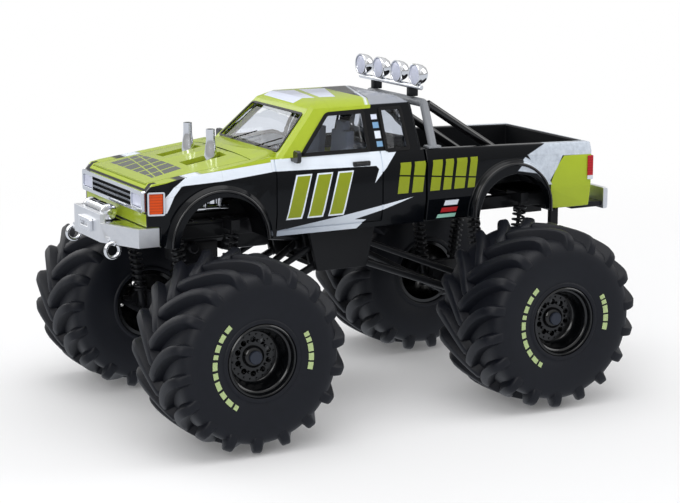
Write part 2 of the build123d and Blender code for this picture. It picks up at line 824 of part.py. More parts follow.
# Struts from the hoop down and back onto the bed floor
strut_radius = 1.0
strut_x = 12.2
strut_run = 27.5
strut_drop = 2.0
strut_top = (strut_x, hoop_y + tube_radius + strut_radius, hoop_top_z - strut_drop)
strut_foot = (strut_x, hoop_y + strut_run + strut_radius, floor_z + seat_gap)
with BuildPart() as roll_struts:
    add(bar(strut_top, strut_foot, strut_radius, small_sides))
    add(bed_body.part, mode=Mode.SUBTRACT)
    split(bisect_by=Plane.XY.offset(floor_z), keep=Keep.TOP)
    mirror(about=Plane.YZ)
save(roll_struts.part, "roll_struts")

# Light bar: a tube on two feet above the roof's rear edge, with a yoke for each lamp
lamp_pitch = 8.25
lamp_places = [(step - 1) * lamp_pitch - lamp_pitch / 2 for step in range(4)]
bar_radius = 0.6
bar_half = 13.6
bar_rise = 1.0
bar_y = hoop_y - tube_radius - bar_radius
lamp_radius = 2.4
lamp_back_radius = 1.5
lamp_depth = 1.9
lens_thick = 0.4
lamp_lift = 2.7
foot_x = 8.0
bar_z = hoop_top_z + tube_radius + bar_radius + bar_rise

with BuildPart() as light_bar:
    add(bar((-bar_half, bar_y, bar_z), (bar_half, bar_y, bar_z), bar_radius, small_sides))
    for side in (-1, 1):
        x = side * foot_x
        add(block(x - bar_radius, x + bar_radius, bar_y - bar_radius, hoop_y,
                  hoop_top_z + tube_radius + seat_gap, bar_z))
    for x in lamp_places:
        add(block(x - bar_radius, x + bar_radius, bar_y - bar_radius, bar_y + bar_radius,
                  bar_z, bar_z + lamp_lift - lamp_back_radius))
    add(roll_hoop.part, mode=Mode.SUBTRACT)
save(light_bar.part, "light_bar")

lamp_front_y = bar_y - lamp_depth / 2
lens_rear_y = lamp_front_y + lens_thick - 2 * seat_gap
lamp_z_roof = bar_z + lamp_lift
with BuildPart() as roof_lamps:
    for x in lamp_places:
        add(bar((x, lamp_front_y, lamp_z_roof), (x, bar_y, lamp_z_roof), lamp_radius, round_sides))
        add(bar((x, bar_y, lamp_z_roof), (x, bar_y + lamp_depth, lamp_z_roof), lamp_radius, round_sides,
                lamp_back_radius))
        add(bar((x, lamp_front_y - overrun, lamp_z_roof), (x, lamp_front_y + lens_thick, lamp_z_roof),
                lamp_radius - edge_round, round_sides), mode=Mode.SUBTRACT)
    add(light_bar.part, mode=Mode.SUBTRACT)
save(roof_lamps.part, "roof_lamps")

with BuildPart() as roof_lenses:
    for x in lamp_places:
        add(bar((x, lamp_front_y - groove, lamp_z_roof), (x, lens_rear_y, lamp_z_roof),
                lamp_radius - edge_round - seat_gap, round_sides))
save(roof_lenses.part, "roof_lenses")

# Rear bumper on brackets that reach forward to the rails, and the tail lamps
rear_bumper_half = 16.4
rear_bumper_drop = 1.3
rear_bumper_low_z = sill_z - rear_bumper_drop
rear_bumper_height = 4.8
rear_bumper_thick = 1.6
rear_bumper_round = 0.5
tail_half_height = 2.7
tail_width = 1.5
tail_thick = 1.2
tail_rise = 8.8
tail_z = sill_z + tail_rise
rear_bumper_y = rear_end_y - rear_bumper_thick
with BuildPart() as rear_bumper:
    add(block(-rear_bumper_half, rear_bumper_half, rear_bumper_y, rear_end_y,
              rear_bumper_low_z, rear_bumper_low_z + rear_bumper_height))
    chamfer(rear_bumper.faces().sort_by(Axis.Y)[-1].edges(), rear_bumper_round)
    for side in (-1, 1):
        add(block(side * rail_x - rail_width / 2, side * rail_x + rail_width / 2, rail_rear_y + seat_gap,
                  rear_bumper_y + rear_bumper_thick / 2, rail_low_z, rail_low_z + rail_height / 2))
save(rear_bumper.part, "rear_bumper")

with BuildPart() as tail_lamps:
    add(block(body_half - tail_width, body_half + groove, bed_rear_y - tail_thick, bed_rear_y + groove,
              tail_z - tail_half_height, tail_z + tail_half_height))
    add(bed_body.part, mode=Mode.SUBTRACT)
    mirror(about=Plane.YZ)
save(tail_lamps.part, "tail_lamps")

# Engine block between the rails, with the stacks on it and header pipes at its sides
engine_half = 4.6
engine_length = 11.0
engine_chamfer = 0.9
engine_below = 2.4
engine_under_hood = 4.6
engine_back = 2.6
engine_low_z = rail_low_z - engine_below
engine_top_z = hood_front_z - engine_under_hood
engine_y = front_axle_y + engine_back
with BuildPart() as engine:
    add(block(-engine_half, engine_half, engine_y - engine_length / 2, engine_y + engine_length / 2,
              engine_low_z, engine_top_z))
    chamfer(engine.edges().filter_by(Axis.Y), engine_chamfer)
save(engine.part, "engine")

header_radius = 0.75
collector_radius = 0.9
header_out = 2.2
header_below = 2.4
header_step = 3.3
header_z = engine_top_z - header_below
with BuildPart() as headers:
    for step in (-1, 0, 1):
        y = engine_y + step * header_step
        add(bar((engine_half, y, header_z), (engine_half + header_out, y, header_z - header_radius),
                header_radius, small_sides))
    collector_x = engine_half + header_out
    add(bar((collector_x, engine_y - engine_length / 2, header_z - header_radius),
            (collector_x, engine_y + engine_length / 2, header_z - header_radius),
            collector_radius, small_sides))
    mirror(about=Plane.YZ)
    add(engine.part, mode=Mode.SUBTRACT)
save(headers.part, "headers")

with BuildPart() as stacks:
    for side in (-1, 1):
        x = side * stack_x
        bend_z = stack_top_z - stack_straight
        add(bar((x, stack_y, engine_top_z - header_out), (x, stack_y, bend_z), stack_foot_radius, round_sides,
                stack_radius))
        add(bar((x, stack_y, bend_z), (x, stack_y, stack_top_z), stack_radius, round_sides))
        add(bar((x, stack_y, stack_top_z - overrun), (x, stack_y, stack_top_z + overrun),
                stack_radius - edge_round, round_sides), mode=Mode.SUBTRACT)
    add(engine.part, mode=Mode.SUBTRACT)
    add(headers.part, mode=Mode.SUBTRACT)
    add(frame.part, mode=Mode.SUBTRACT)
save(stacks.part, "stacks")

# Axles: a tube with a round differential, spindles and link brackets, round a steel pin
tube_reach = 6.0
tube_end_x = tyre_inner_x + tube_reach
axle_tube_radius = 1.7
diff_radius = 4.4
diff_half = 3.0
knuckle_radius = 3.0
knuckle_length = 2.0
spring_seat_half = 3.4
pin_bore_radius = (pin_radius + seat_gap) / math.cos(math.pi / small_sides)
for name, y, nose in (("front_axle", front_axle_y, 1), ("rear_axle", rear_axle_y, -1)):
    with BuildPart() as axle:
        add(bar((-tube_end_x, y, axle_z), (tube_end_x, y, axle_z), axle_tube_radius, small_sides))
        add(turned([(-diff_half, diff_radius - wall), (wall - diff_half, diff_radius),
                    (diff_half - wall, diff_radius), (diff_half, diff_radius - wall)], round_sides)
            .moved(Location((0, y, axle_z))))
        add(bar((0, y, axle_z), (0, y + nose * (diff_radius + wall), axle_z), axle_tube_radius, small_sides))
        for side in (-1, 1):
            knuckle_x = side * (tube_end_x - knuckle_length)
            add(bar((knuckle_x, y, axle_z), (side * tube_end_x, y, axle_z), knuckle_radius, round_sides))
            middle = side * bracket_x
            add(block(middle - bracket_width / 2, middle + bracket_width / 2, y - spring_seat_half,
                      y + spring_seat_half, axle_z - bracket_drop, axle_z + bracket_rise))
            middle = side * shock_x
            add(block(middle - bracket_width / 2, middle + bracket_width / 2, y - spring_seat_half - wall,
                      y + spring_seat_half + wall, axle_z - axle_tube_radius,
                      axle_z - axle_tube_radius + wall))
        add(bar((-rim_lip_x, y, axle_z), (rim_lip_x, y, axle_z), pin_bore_radius, small_sides),
            mode=Mode.SUBTRACT)
    save(axle.part, name)
    pin_end_x = rim_lip_x - rim_face_in + hub_proud + pin_head_gap
    with BuildPart() as pin:
        add(rod((-pin_end_x, y, axle_z), (pin_end_x, y, axle_z), pin_radius))
        for side in (-1, 1):
            add(bar((side * pin_end_x, y, axle_z), (side * (pin_end_x + pin_head_thick), y, axle_z),
                    pin_head_radius, round_sides))
    save(pin.part, name + "_pin")

# Link mount under the belly: two pairs of plates with the link pins, and a skid between them
mount_back = 26.6
mount_length = 11.9
mount_drop = 9.4
mount_front_y = front_axle_y + mount_back
mount_rear_y = mount_front_y + mount_length
mount_low_z = rail_low_z - mount_drop
mount_taper = 2.2
plate_thick = 1.0
mount_pin_radius = 0.55
link_radius = 0.85
upper_link_radius = 0.7
link_low_rise = 1.8
link_high_rise = 6.4
link_low_z = mount_low_z + link_low_rise
link_high_z = mount_low_z + link_high_rise
mount_side = [
    (mount_front_y - mount_taper, rail_low_z - seat_gap),
    (mount_rear_y + mount_taper, rail_low_z - seat_gap),
    (mount_rear_y, mount_low_z),
    (mount_front_y, mount_low_z),
]
link_half = bracket_width / 2 + seat_gap
with BuildPart() as link_mount:
    for side in (-1, 1):
        for offset_x in (-link_half - plate_thick, link_half):
            add(profile(Plane.YZ.offset(side * bracket_x + offset_x), mount_side, plate_thick))
        for y in (mount_front_y + mount_taper, mount_rear_y - mount_taper):
            for z in (link_low_z, link_high_z):
                add(bar((side * bracket_x - link_half, y, z), (side * bracket_x + link_half, y, z),
                        mount_pin_radius, small_sides))
    add(block(-bracket_x + link_half, bracket_x - link_half, mount_front_y + plate_thick,
              mount_rear_y - plate_thick, mount_low_z, mount_low_z + plate_thick))
save(link_mount.part, "link_mount")

# Links from the mount to the axle brackets, round below and flat above
for name, axle_y, pin_y, nose in (("front_links", front_axle_y, mount_front_y + mount_taper, 1),
                                  ("rear_links", rear_axle_y, mount_rear_y - mount_taper, -1)):
    foot_y = axle_y + nose * (spring_seat_half + seat_gap)
    with BuildPart() as links:
        for low_z, high_z, radius in ((axle_z, link_low_z, link_radius),
                                      (axle_z + bracket_rise - link_radius, link_high_z, upper_link_radius)):
            eye_half = bracket_width / 2
            add(bar((bracket_x, foot_y - nose * overrun, low_z), (bracket_x, pin_y, high_z), radius,
                    small_sides))
            add(bar((bracket_x - eye_half, pin_y, high_z), (bracket_x + eye_half, pin_y, high_z),
                    link_radius + mount_pin_radius, round_sides))
            add(bar((bracket_x - bracket_width, pin_y, high_z), (bracket_x + bracket_width, pin_y, high_z),
                    mount_pin_radius + seat_gap, small_sides), mode=Mode.SUBTRACT)
        ends = (foot_y, foot_y - nose * wheelbase)
        add(block(0, body_half, min(ends), max(ends), 0, sill_z), mode=Mode.SUBTRACT)
        mirror(about=Plane.YZ)
    save(links.part, name)

# Coil-over shocks, two at each wheel, leaning out from the axle to the outriggers
shock_rod_radius = 0.7
spring_radius = 1.45
spring_discs = 4
disc_thick = 0.8
spring_first = 0.3
spring_last = 0.92
for name, axle_y in (("front_shocks", front_axle_y), ("rear_shocks", rear_axle_y)):
    with BuildPart() as shocks:
        for nose in (-1, 1):
            low = Vector(shock_x, axle_y + nose * spring_seat_half, axle_z - axle_tube_radius + wall)
            high = Vector(shock_x, axle_y + nose * shock_spread, rail_top_z - wall)
            add(bar(low, high, shock_rod_radius, spring_sides))
            for step in range(spring_discs):
                share = spring_first + (spring_last - spring_first) * step / (spring_discs - 1)
                start = low + (high - low) * share
                with BuildSketch(Plane(origin=start, z_dir=high - low)):
                    RegularPolygon(spring_radius, spring_sides)
                extrude(amount=disc_thick)
        add(block(0, body_half, axle_y - 2 * shock_spread, axle_y + 2 * shock_spread, 0,
                  axle_z - axle_tube_radius + wall + seat_gap), mode=Mode.SUBTRACT)
        add(block(0, body_half, axle_y - 2 * shock_spread, axle_y + 2 * shock_spread,
                  rail_top_z - wall - seat_gap, roof_top_z), mode=Mode.SUBTRACT)
        mirror(about=Plane.YZ)
    save(shocks.part, name)

# Transfer case on the skid, and the drive shafts to both differentials
case_half = 3.6
case_inset = 1.6
case_low_z = mount_low_z + plate_thick + seat_gap
case_front_y = mount_front_y + case_inset
case_rear_y = mount_rear_y - case_inset
shaft_radius = 0.8
joint_radius = 1.3
joint_length = 1.2
shaft_z = (case_low_z + rail_low_z) / 2 - wall
with BuildPart() as transfer_case:
    add(block(-case_half, case_half, case_front_y, case_rear_y, case_low_z, rail_low_z - seat_gap))
    chamfer(transfer_case.edges().filter_by(Axis.Y), wall)
save(transfer_case.part, "transfer_case")

with BuildPart() as drive_shafts:
    for case_y, axle_y, nose in ((case_front_y, front_axle_y, 1), (case_rear_y, rear_axle_y, -1)):
        pinion_y = axle_y + nose * (diff_radius + wall + seat_gap)
        start = (0, pinion_y + nose * joint_length, axle_z)
        end = (0, case_y - nose * (joint_length + seat_gap), shaft_z)
        add(bar((0, pinion_y, axle_z), start, joint_radius, small_sides))
        add(bar((0, case_y - nose * seat_gap, shaft_z), end, joint_radius, small_sides))
        add(bar((0, pinion_y + nose * joint_length / 2, axle_z),
                (0, case_y - nose * (seat_gap + joint_length / 2), shaft_z), shaft_radius, small_sides))
save(drive_shafts.part, "drive_shafts")

# Steering rod between the front knuckles, just ahead of the axle
rod_radius = 0.6
rod_ahead = knuckle_radius + rod_radius
rod_rise = 0.6
rod_z = axle_z + rod_rise
arm_thick = 1.6
with BuildPart() as steering_rod:
    rod_y = front_axle_y - rod_ahead - arm_thick
    add(bar((-tube_end_x + knuckle_length / 2, rod_y, rod_z),
            (tube_end_x - knuckle_length / 2, rod_y, rod_z), rod_radius, small_sides))
    for side in (-1, 1):
        x = side * (tube_end_x - knuckle_length / 2)
        add(block(x - knuckle_length / 2, x + knuckle_length / 2, rod_y - rod_radius,
                  front_axle_y - knuckle_radius / 2, rod_z - rod_radius, rod_z + rod_radius))
    add(bar((-tube_end_x - overrun, front_axle_y, axle_z), (tube_end_x + overrun, front_axle_y, axle_z),
            knuckle_radius + seat_gap, round_sides), mode=Mode.SUBTRACT)
save(steering_rod.part, "steering_rod")

# Hitch receiver under the bed's rear, hung from the rails
hitch_y = bed_rear_y - nose_taper
hitch_drop = 3.4
hitch_half = 1.4
hanger_x = 12.6
hanger_thick = 1.2
hanger_drop = 4.4
with BuildPart() as hitch:
    add(block(-hanger_x, hanger_x, hitch_y - cross_width / 2, hitch_y + cross_width / 2,
              rail_low_z - wall - seat_gap, rail_low_z - seat_gap))
    for side_x in (-hanger_x, hanger_x - hanger_thick):
        add(block(side_x, side_x + hanger_thick, hitch_y - cross_width / 2, hitch_y + cross_width / 2,
                  rail_low_z - hanger_drop, rail_low_z - seat_gap))
    add(block(-hitch_half, hitch_half, hitch_y - cross_width, hitch_y + 2 * cross_width,
              rail_low_z - hitch_drop, rail_low_z - wall))
    add(block(-hitch_half + wall / 2, hitch_half - wall / 2, hitch_y, hitch_y + 3 * cross_width,
              rail_low_z - hitch_drop + wall / 2, rail_low_z - wall - wall / 2), mode=Mode.SUBTRACT)
save(hitch.part, "hitch")

# Rim: barrel, dished face with a ring of windows, and the hub that turns on the pin
rim_in = 0.9
rim_in_x = tyre_inner_x + rim_in
rim_face_x = rim_lip_x - rim_face_in
window_count = 10
window_ring = 3.5
window_radius = 0.65
with BuildPart() as rim:
    add(turned([(rim_in_x, rim_radius), (rim_lip_x, rim_radius)], wheel_sides))
    add(turned([(rim_in_x - overrun, rim_radius - rim_wall),
                (rim_face_x - rim_face_thick, rim_radius - rim_wall)], wheel_sides), mode=Mode.SUBTRACT)
    add(turned([(rim_face_x, rim_face_radius), (rim_lip_x - rim_step, rim_radius - rim_step),
                (rim_lip_x + overrun, rim_radius - rim_step)], wheel_sides), mode=Mode.SUBTRACT)
    with BuildSketch(Plane.YZ.offset(rim_face_x - 2 * rim_face_thick)):
        with PolarLocations(window_ring, window_count):
            RegularPolygon(window_radius, window_sides)
    extrude(amount=3 * rim_face_thick, mode=Mode.SUBTRACT)
    add(turned([(tube_end_x + pin_head_gap, hub_radius), (rim_face_x + hub_proud, hub_radius)], round_sides))
    add(rod((0, 0, 0), (rim_lip_x + overrun, 0, 0), pin_radius + running_gap), mode=Mode.SUBTRACT)

# Tyre: an all-flat ring with slanted lugs, half of them on each side of the middle, half a step apart
sidewall_radius = 12.8
tread_half = 8.8
tread_depth = 1.8
lug_count = 18
lug_thick = 2.5
lug_slant = 32
lug_middle = 4.2
lug_end_in = 0.3
lug_foot_in = 0.7
lug_foot_radius = 14.3
lug_root_radius = 15.5
bead_in = 0.8
tyre_half = tyre_width / 2
tread_radius = tyre_radius - tread_depth
bore_radius = (rim_radius + seat_gap) / math.cos(math.pi / lug_count)
stretch = 1 / math.cos(math.radians(lug_slant))
lug_reach = tread_half - lug_end_in - lug_middle
tip_shift = lug_reach * math.tan(math.radians(lug_slant)) + lug_thick / 2 / stretch
tip_radius = math.sqrt(tyre_radius ** 2 - tip_shift ** 2)
lug_turn = 180 + math.degrees(math.asin(tip_shift / tyre_radius))
lug_profile = [
    (-lug_middle * stretch, lug_root_radius),
    (-lug_middle * stretch, tip_radius),
    (lug_reach * stretch, tip_radius),
    ((tyre_half - lug_foot_in - lug_middle) * stretch, lug_foot_radius),
]


def lug(side, angle):
    """One lug: a bar across half the tread, slanted forward towards the middle."""
    slant = math.radians(lug_slant)
    across = Vector(side * math.cos(slant), math.sin(slant), 0)
    plane = Plane(origin=(side * lug_middle, 0, 0), x_dir=across, z_dir=across.cross(Vector(0, 0, 1)))
    return profile(plane, lug_profile, lug_thick / 2, both=True).rotate(Axis.X, angle)


with BuildPart() as tyre:
    add(turned([(-tyre_half, sidewall_radius), (-tread_half, tread_radius), (tread_half, tread_radius),
                (tyre_half, sidewall_radius)], lug_count))
    add([lug(side, lug_turn + (step + (side - 1) / 4) * 360 / lug_count)
         for step in range(lug_count) for side in (-1, 1)])
    for side in (-1, 1):
        add(turned([(side * tyre_half, sidewall_radius), (side * (tyre_half - bead_in), bore_radius)],
                   lug_count), mode=Mode.SUBTRACT)
    add(turned([(-tyre_width, bore_radius), (tyre_width, bore_radius)], lug_count), mode=Mode.SUBTRACT)

for end, axle_y in (("front", front_axle_y), ("rear", rear_axle_y)):
    left_tyre = tyre.part.moved(Location((track_half, axle_y, axle_z)))
    left_rim = rim.part.moved(Location((0, axle_y, axle_z)))
    save(left_tyre, f"tyre_{end}_left")
    save(left_rim, f"rim_{end}_left")
    save(left_tyre.mirror(Plane.YZ), f"tyre_{end}_right")
    save(left_rim.mirror(Plane.YZ), f"rim_{end}_right")
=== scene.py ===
import math
import bmesh
import bpy
from mathutils import Matrix, Vector
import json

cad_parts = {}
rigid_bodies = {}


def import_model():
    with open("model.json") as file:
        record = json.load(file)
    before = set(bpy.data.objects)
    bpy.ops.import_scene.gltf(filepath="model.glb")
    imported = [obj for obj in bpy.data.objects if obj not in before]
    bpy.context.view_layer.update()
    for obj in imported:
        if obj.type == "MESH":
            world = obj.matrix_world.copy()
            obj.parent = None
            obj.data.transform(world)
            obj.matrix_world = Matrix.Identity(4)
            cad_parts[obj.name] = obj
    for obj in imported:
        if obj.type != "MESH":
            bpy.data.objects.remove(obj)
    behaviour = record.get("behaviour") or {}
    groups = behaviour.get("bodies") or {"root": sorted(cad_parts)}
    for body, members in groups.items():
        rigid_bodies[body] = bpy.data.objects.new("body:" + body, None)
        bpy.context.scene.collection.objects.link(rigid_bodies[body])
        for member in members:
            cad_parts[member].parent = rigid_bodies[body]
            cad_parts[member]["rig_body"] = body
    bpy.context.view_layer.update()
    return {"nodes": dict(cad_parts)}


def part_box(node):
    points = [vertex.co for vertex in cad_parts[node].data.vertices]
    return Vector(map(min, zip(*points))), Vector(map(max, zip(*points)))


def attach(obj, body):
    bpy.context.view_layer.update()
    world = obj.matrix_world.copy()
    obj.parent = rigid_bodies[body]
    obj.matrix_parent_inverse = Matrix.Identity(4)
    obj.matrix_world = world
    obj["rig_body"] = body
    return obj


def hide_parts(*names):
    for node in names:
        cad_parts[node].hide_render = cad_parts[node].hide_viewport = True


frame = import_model()
nodes = frame["nodes"]
mm = 0.001
turn = 2 * math.pi
print("frame loaded:", len(nodes), "nodes")


# Shader maths: a wire is one output socket, and sums on wires add Math nodes
class Wire:
    def __init__(self, owner, socket):
        self.owner = owner
        self.socket = socket

    def of(self, name):
        return Wire(self.owner, self.socket.node.outputs[name])

    def math(self, operation, *values):
        return self.owner.node("ShaderNodeMath", {"operation": operation}, values)

    def __add__(self, other):
        return self.math("ADD", self, other)

    def __radd__(self, other):
        return self.math("ADD", other, self)

    def __sub__(self, other):
        return self.math("SUBTRACT", self, other)

    def __rsub__(self, other):
        return self.math("SUBTRACT", other, self)

    def __mul__(self, other):
        return self.math("MULTIPLY", self, other)

    def __rmul__(self, other):
        return self.math("MULTIPLY", other, self)

    def __truediv__(self, other):
        return self.math("DIVIDE", self, other)

    def least(self, other):
        return self.math("MINIMUM", self, other)

    def most(self, other):
        return self.math("MAXIMUM", self, other)

    def size(self):
        return self.math("ABSOLUTE", self)

    def limited(self):
        return self.owner.node("ShaderNodeClamp", {}, [self])


class Nodes:
    def __init__(self, tree):
        self.tree = tree

    def node(self, kind, settings, sockets):
        made = self.tree.nodes.new(kind)
        for label, value in settings.items():
            setattr(made, label, value)
        pairs = sockets.items() if isinstance(sockets, dict) else enumerate(sockets)
        for label, value in pairs:
            self.give(made, label, value)
        return Wire(self, made.outputs[0])

    def give(self, made, label, value):
        # a wire is linked to the socket, and a plain value is set on it
        if isinstance(value, Wire):
            self.tree.links.new(value.socket, made.inputs[label])
        else:
            made.inputs[label].default_value = value


class Finish(Nodes):
    def __init__(self, name, sockets):
        self.material = bpy.data.materials.new(name)
        self.material.use_nodes = True
        super().__init__(self.material.node_tree)
        self.shader = self.tree.nodes["Principled BSDF"]
        for label, value in sockets.items():
            self.shader.inputs[label].default_value = value
        self.place = self.node("ShaderNodeTexCoord", {}, {}).of("Object")
        self.inMm = self.node("ShaderNodeVectorMath", {"operation": "SCALE"},
                              {"Vector": self.place, "Scale": 1 / mm})
        axes = self.node("ShaderNodeSeparateXYZ", {}, [self.inMm])
        self.x, self.y, self.z = axes.of("X"), axes.of("Y"), axes.of("Z")

    def feed(self, label, wire):
        self.tree.links.new(wire.socket, self.shader.inputs[label])

    def mix(self, share, first, second):
        made = self.node("ShaderNodeMix", {"data_type": "RGBA"}, {"Factor": share})
        for label, value in ((6, first), (7, second)):  # the colour sockets of a Mix node
            self.give(made.socket.node, label, value)
        return Wire(self, made.socket.node.outputs[2])

    def noise(self, scale, detail=2.0, roughness=0.5):
        return self.node("ShaderNodeTexNoise", {}, {"Vector": self.inMm, "Scale": scale, "Detail": detail,
                                                    "Roughness": roughness})

    def toned(self, colour, value):
        return self.node("ShaderNodeHueSaturation", {}, {"Color": colour, "Value": value})

    def bump(self, height, strength, distance):
        self.feed("Normal", self.node("ShaderNodeBump", {}, {"Strength": strength, "Distance": distance * mm,
                                                             "Height": height}))

    def inside(self, across, up, corners, blur=0.06):
        # a mask that is 1 inside a convex outline given in millimetres
        area = sum(a[0] * b[1] - b[0] * a[1] for a, b in zip(corners, corners[1:] + corners[:1]))
        facing = 1 if area > 0 else -1
        depth = None
        for (u, v), (nextU, nextV) in zip(corners, corners[1:] + corners[:1]):
            length = math.hypot(nextU - u, nextV - v) * facing
            alongV, alongU = (nextU - u) / length, -(nextV - v) / length
            start = across.math("MULTIPLY_ADD", up, alongV, -u * alongU - v * alongV)
            edge = across.math("MULTIPLY_ADD", across, alongU, start)
            depth = edge if depth is None else depth.least(edge)
        return (depth / blur + 0.5).limited()

    def anyOf(self, across, up, shapes, blur=0.06):
        found = None
        for corners in shapes:
            mask = self.inside(across, up, corners, blur)
            found = mask if found is None else found.most(mask)
        return found


def screen(red, green, blue):
    # a colour as a screen shows it, 0 to 255, in the renderer's own units
    return tuple(((c / 255) / 12.92 if c < 11 else ((c / 255 + 0.055) / 1.055) ** 2.4)
                 for c in (red, green, blue)) + (1.0,)


paint = {
    "black": screen(4, 6, 10),
    "green": screen(166, 184, 50),
    "olive": screen(138, 150, 34),
    "white": screen(226, 234, 244),
    "silver": screen(150, 160, 174),
    "roofSilver": screen(150, 154, 163),
    "blockGrey": screen(80, 84, 78),
    "lilac": screen(216, 222, 240),
    "sealBlack": screen(9, 9, 11),
    "red": screen(170, 40, 44),
    "mint": screen(150, 200, 184),
    "blue": screen(120, 160, 196),
}

# The livery, in millimetres: side shapes as (along, height), plan shapes as (across, along)
stripes = {
    "fenderGreen": [[(-53.5, 51.5), (-44.3, 53.4), (-44.3, 60.0), (-53.5, 60.0)],
                    [(-44.3, 53.4), (-25.4, 54.8), (-25.4, 60.0), (-44.3, 60.0)],
                    [(-25.4, 54.8), (-17.0, 55.3), (-17.0, 60.0), (-25.4, 60.0)]],
    "frontGreen": [[(-54.5, 38.0), (-49.0, 38.0), (-49.0, 46.3), (-54.5, 46.3)]],
    "roofGreen": [[(-26.0, 54.9), (-19.2, 54.9), (-9.9, 63.9), (-9.9, 70.0), (-26.0, 70.0)],
                  [(-9.9, 63.9), (-0.2, 64.1), (1.6, 70.0), (-9.9, 70.0)]],
    "band": [
        [(-46.0, 51.6), (-44.3, 53.4), (-36.7, 53.95), (-36.7, 51.9)],
        [(-36.7, 51.9), (-36.7, 53.95), (-25.4, 54.8), (-25.4, 52.9)],
        [(-49.5, 46.3), (-49.5, 49.3), (-47.5, 49.6), (-49.1, 46.3)],
        [(-49.5, 49.3), (-47.6, 51.4), (-45.9, 51.5), (-47.5, 49.6)],
        [(-47.6, 51.4), (-44.6, 53.3), (-44.9, 51.7), (-45.9, 51.5)],
        [(-25.4, 52.95), (-0.4, 52.4), (2.6, 55.3), (-25.4, 55.3)],
        [(4.2, 54.9), (-3.0, 54.9), (-0.4, 51.5), (1.0, 51.6)],
        [(1.5, 52.1), (-0.4, 52.1), (-1.5, 48.8)],
    ],
    "lowBand": [
        [(-24.5, 38.0), (-24.3, 40.4), (-10.0, 42.3), (-6.0, 41.5), (-6.6, 38.0)],
        [(-14.0, 41.6), (7.8, 45.1), (0.6, 42.9), (-6.4, 41.3)],
        [(-9.0, 41.6), (-3.4, 41.1), (-7.2, 38.0), (-12.0, 38.0)],
    ],
    "bedSilver": [
        [(36.8, 52.0), (43.8, 55.0), (56.0, 55.0), (56.0, 51.0), (46.4, 51.3)],
        [(43.0, 54.0), (43.0, 57.0), (56.0, 57.0), (56.0, 54.0)],
        [(36.8, 52.0), (46.4, 51.4), (44.6, 48.6), (43.0, 45.6), (41.0, 45.6), (38.5, 49.5)],
        [(33.6, 48.9), (36.2, 51.6), (40.6, 49.3), (38.6, 48.0)],
        [(38.6, 48.0), (40.6, 49.3), (43.4, 45.0), (41.8, 45.0)],
    ],
    "bedGreen": [[(43.2, 37.0), (56.0, 37.0), (56.0, 51.2), (46.4, 51.2), (44.5, 48.7), (43.1, 45.4)]],
}
doorBars = {"first": -22.4, "pitch": 4.9, "width": 3.7, "low": 42.6, "high": 51.9, "lean": 2.3,
            "rim": 0.32, "count": 3}
sideBlocks = {"starts": (4.0, 7.5, 12.0, 15.2, 18.0, 21.4), "widths": (2.6, 2.7, 2.4, 2.0, 2.6, 1.8),
              "low": 46.0, "high": 52.6, "lean": 0.8, "cut": 50.3, "cutHalf": 0.14, "cutTilt": 0.09}
smallMarks = {"bed": (("white", 15.6, 19.0, 42.5, 43.6), ("red", 14.9, 18.9, 41.0, 42.0),
                      ("mint", 14.0, 18.6, 39.8, 40.6)),
              "pillar": (("lilac", -0.4, 1.0, 61.8, 62.8), ("blue", -0.3, 1.1, 60.0, 61.2),
                         ("white", -0.2, 1.2, 57.9, 59.4), ("blue", -0.1, 1.3, 56.2, 57.3))}
roofBlocks = [[(-10.5, -13.6), (4.4, -13.9), (5.6, -9.4), (-8.8, -7.0)],
              [(-9.4, -5.6), (5.2, -8.0), (6.0, -4.6), (-8.6, 0.4)]]
hoodBars = {"starts": (-11.6, -8.1, -4.1, 0.6, 4.0, 8.1), "widths": (3.0, 3.5, 4.1, 2.8, 3.6, 3.0),
            "front": -49.4, "back": -42.2, "lean": 1.5, "cuts": (-46.9, -44.8), "cutHalf": 0.12,
            "cutTilt": 0.16}
markBlur = {"mark": 0.12, "cut": 0.05, "silver": 0.15}
# Where colours start and end on cab and bed: half widths, heights, and places along the truck
cabEdges = {"outerHalf": 12.0, "valanceHalf": 16.5, "noseFront": 50.6, "noseHalf": 16.6, "noseLow": 46.0,
            "lipHalf": 15.2, "lipLow": 51.15, "fadeFrom": -24.0, "fadeTo": 2.0, "roofLow": 64.75,
            "roofLine": 4.0, "roofSlant": 0.33, "roofEdge": 0.55, "roofEdgeFade": 1.8, "noseDull": 0.6}
bedEdges = {"outerHalf": 15.3, "tailgate": 53.0, "insideDull": 0.5}


def leaning(low, high, start, width, lean):
    return [(start, low), (start + width, low), (start + width + lean, high), (start + lean, high)]


coat = {"Roughness": 0.2, "Specular IOR Level": 0.18, "Coat Weight": 0.2, "Coat Roughness": 0.03,
        "Coat IOR": 1.35}
sprayed = {"dust": (0.35, 5.0, 0.6), "speck": (9.0, 3.0, 0.6), "peel": (1.1, 2.0), "toneLow": 0.94,
           "toneSpread": 0.12, "rough": 0.13, "roughSpread": 0.10, "speckRise": 0.08, "bump": (0.10, 0.03)}


def glossPaint(name, **extra):
    return Finish(name, {**coat, **extra})


def finishPaint(made, colour, dull=0.0):
    # a thick sprayed coat: faint peel, a little dust in the low places, hardly any change of tone
    dust, speck, peel = (made.noise(*sprayed[kind]) for kind in ("dust", "speck", "peel"))
    made.feed("Base Color", made.toned(colour, sprayed["toneLow"] + dust * sprayed["toneSpread"]))
    made.feed("Roughness", dust * sprayed["roughSpread"] + sprayed["rough"] + dull)
    made.bump(peel + speck * sprayed["speckRise"], *sprayed["bump"])
    return made.material


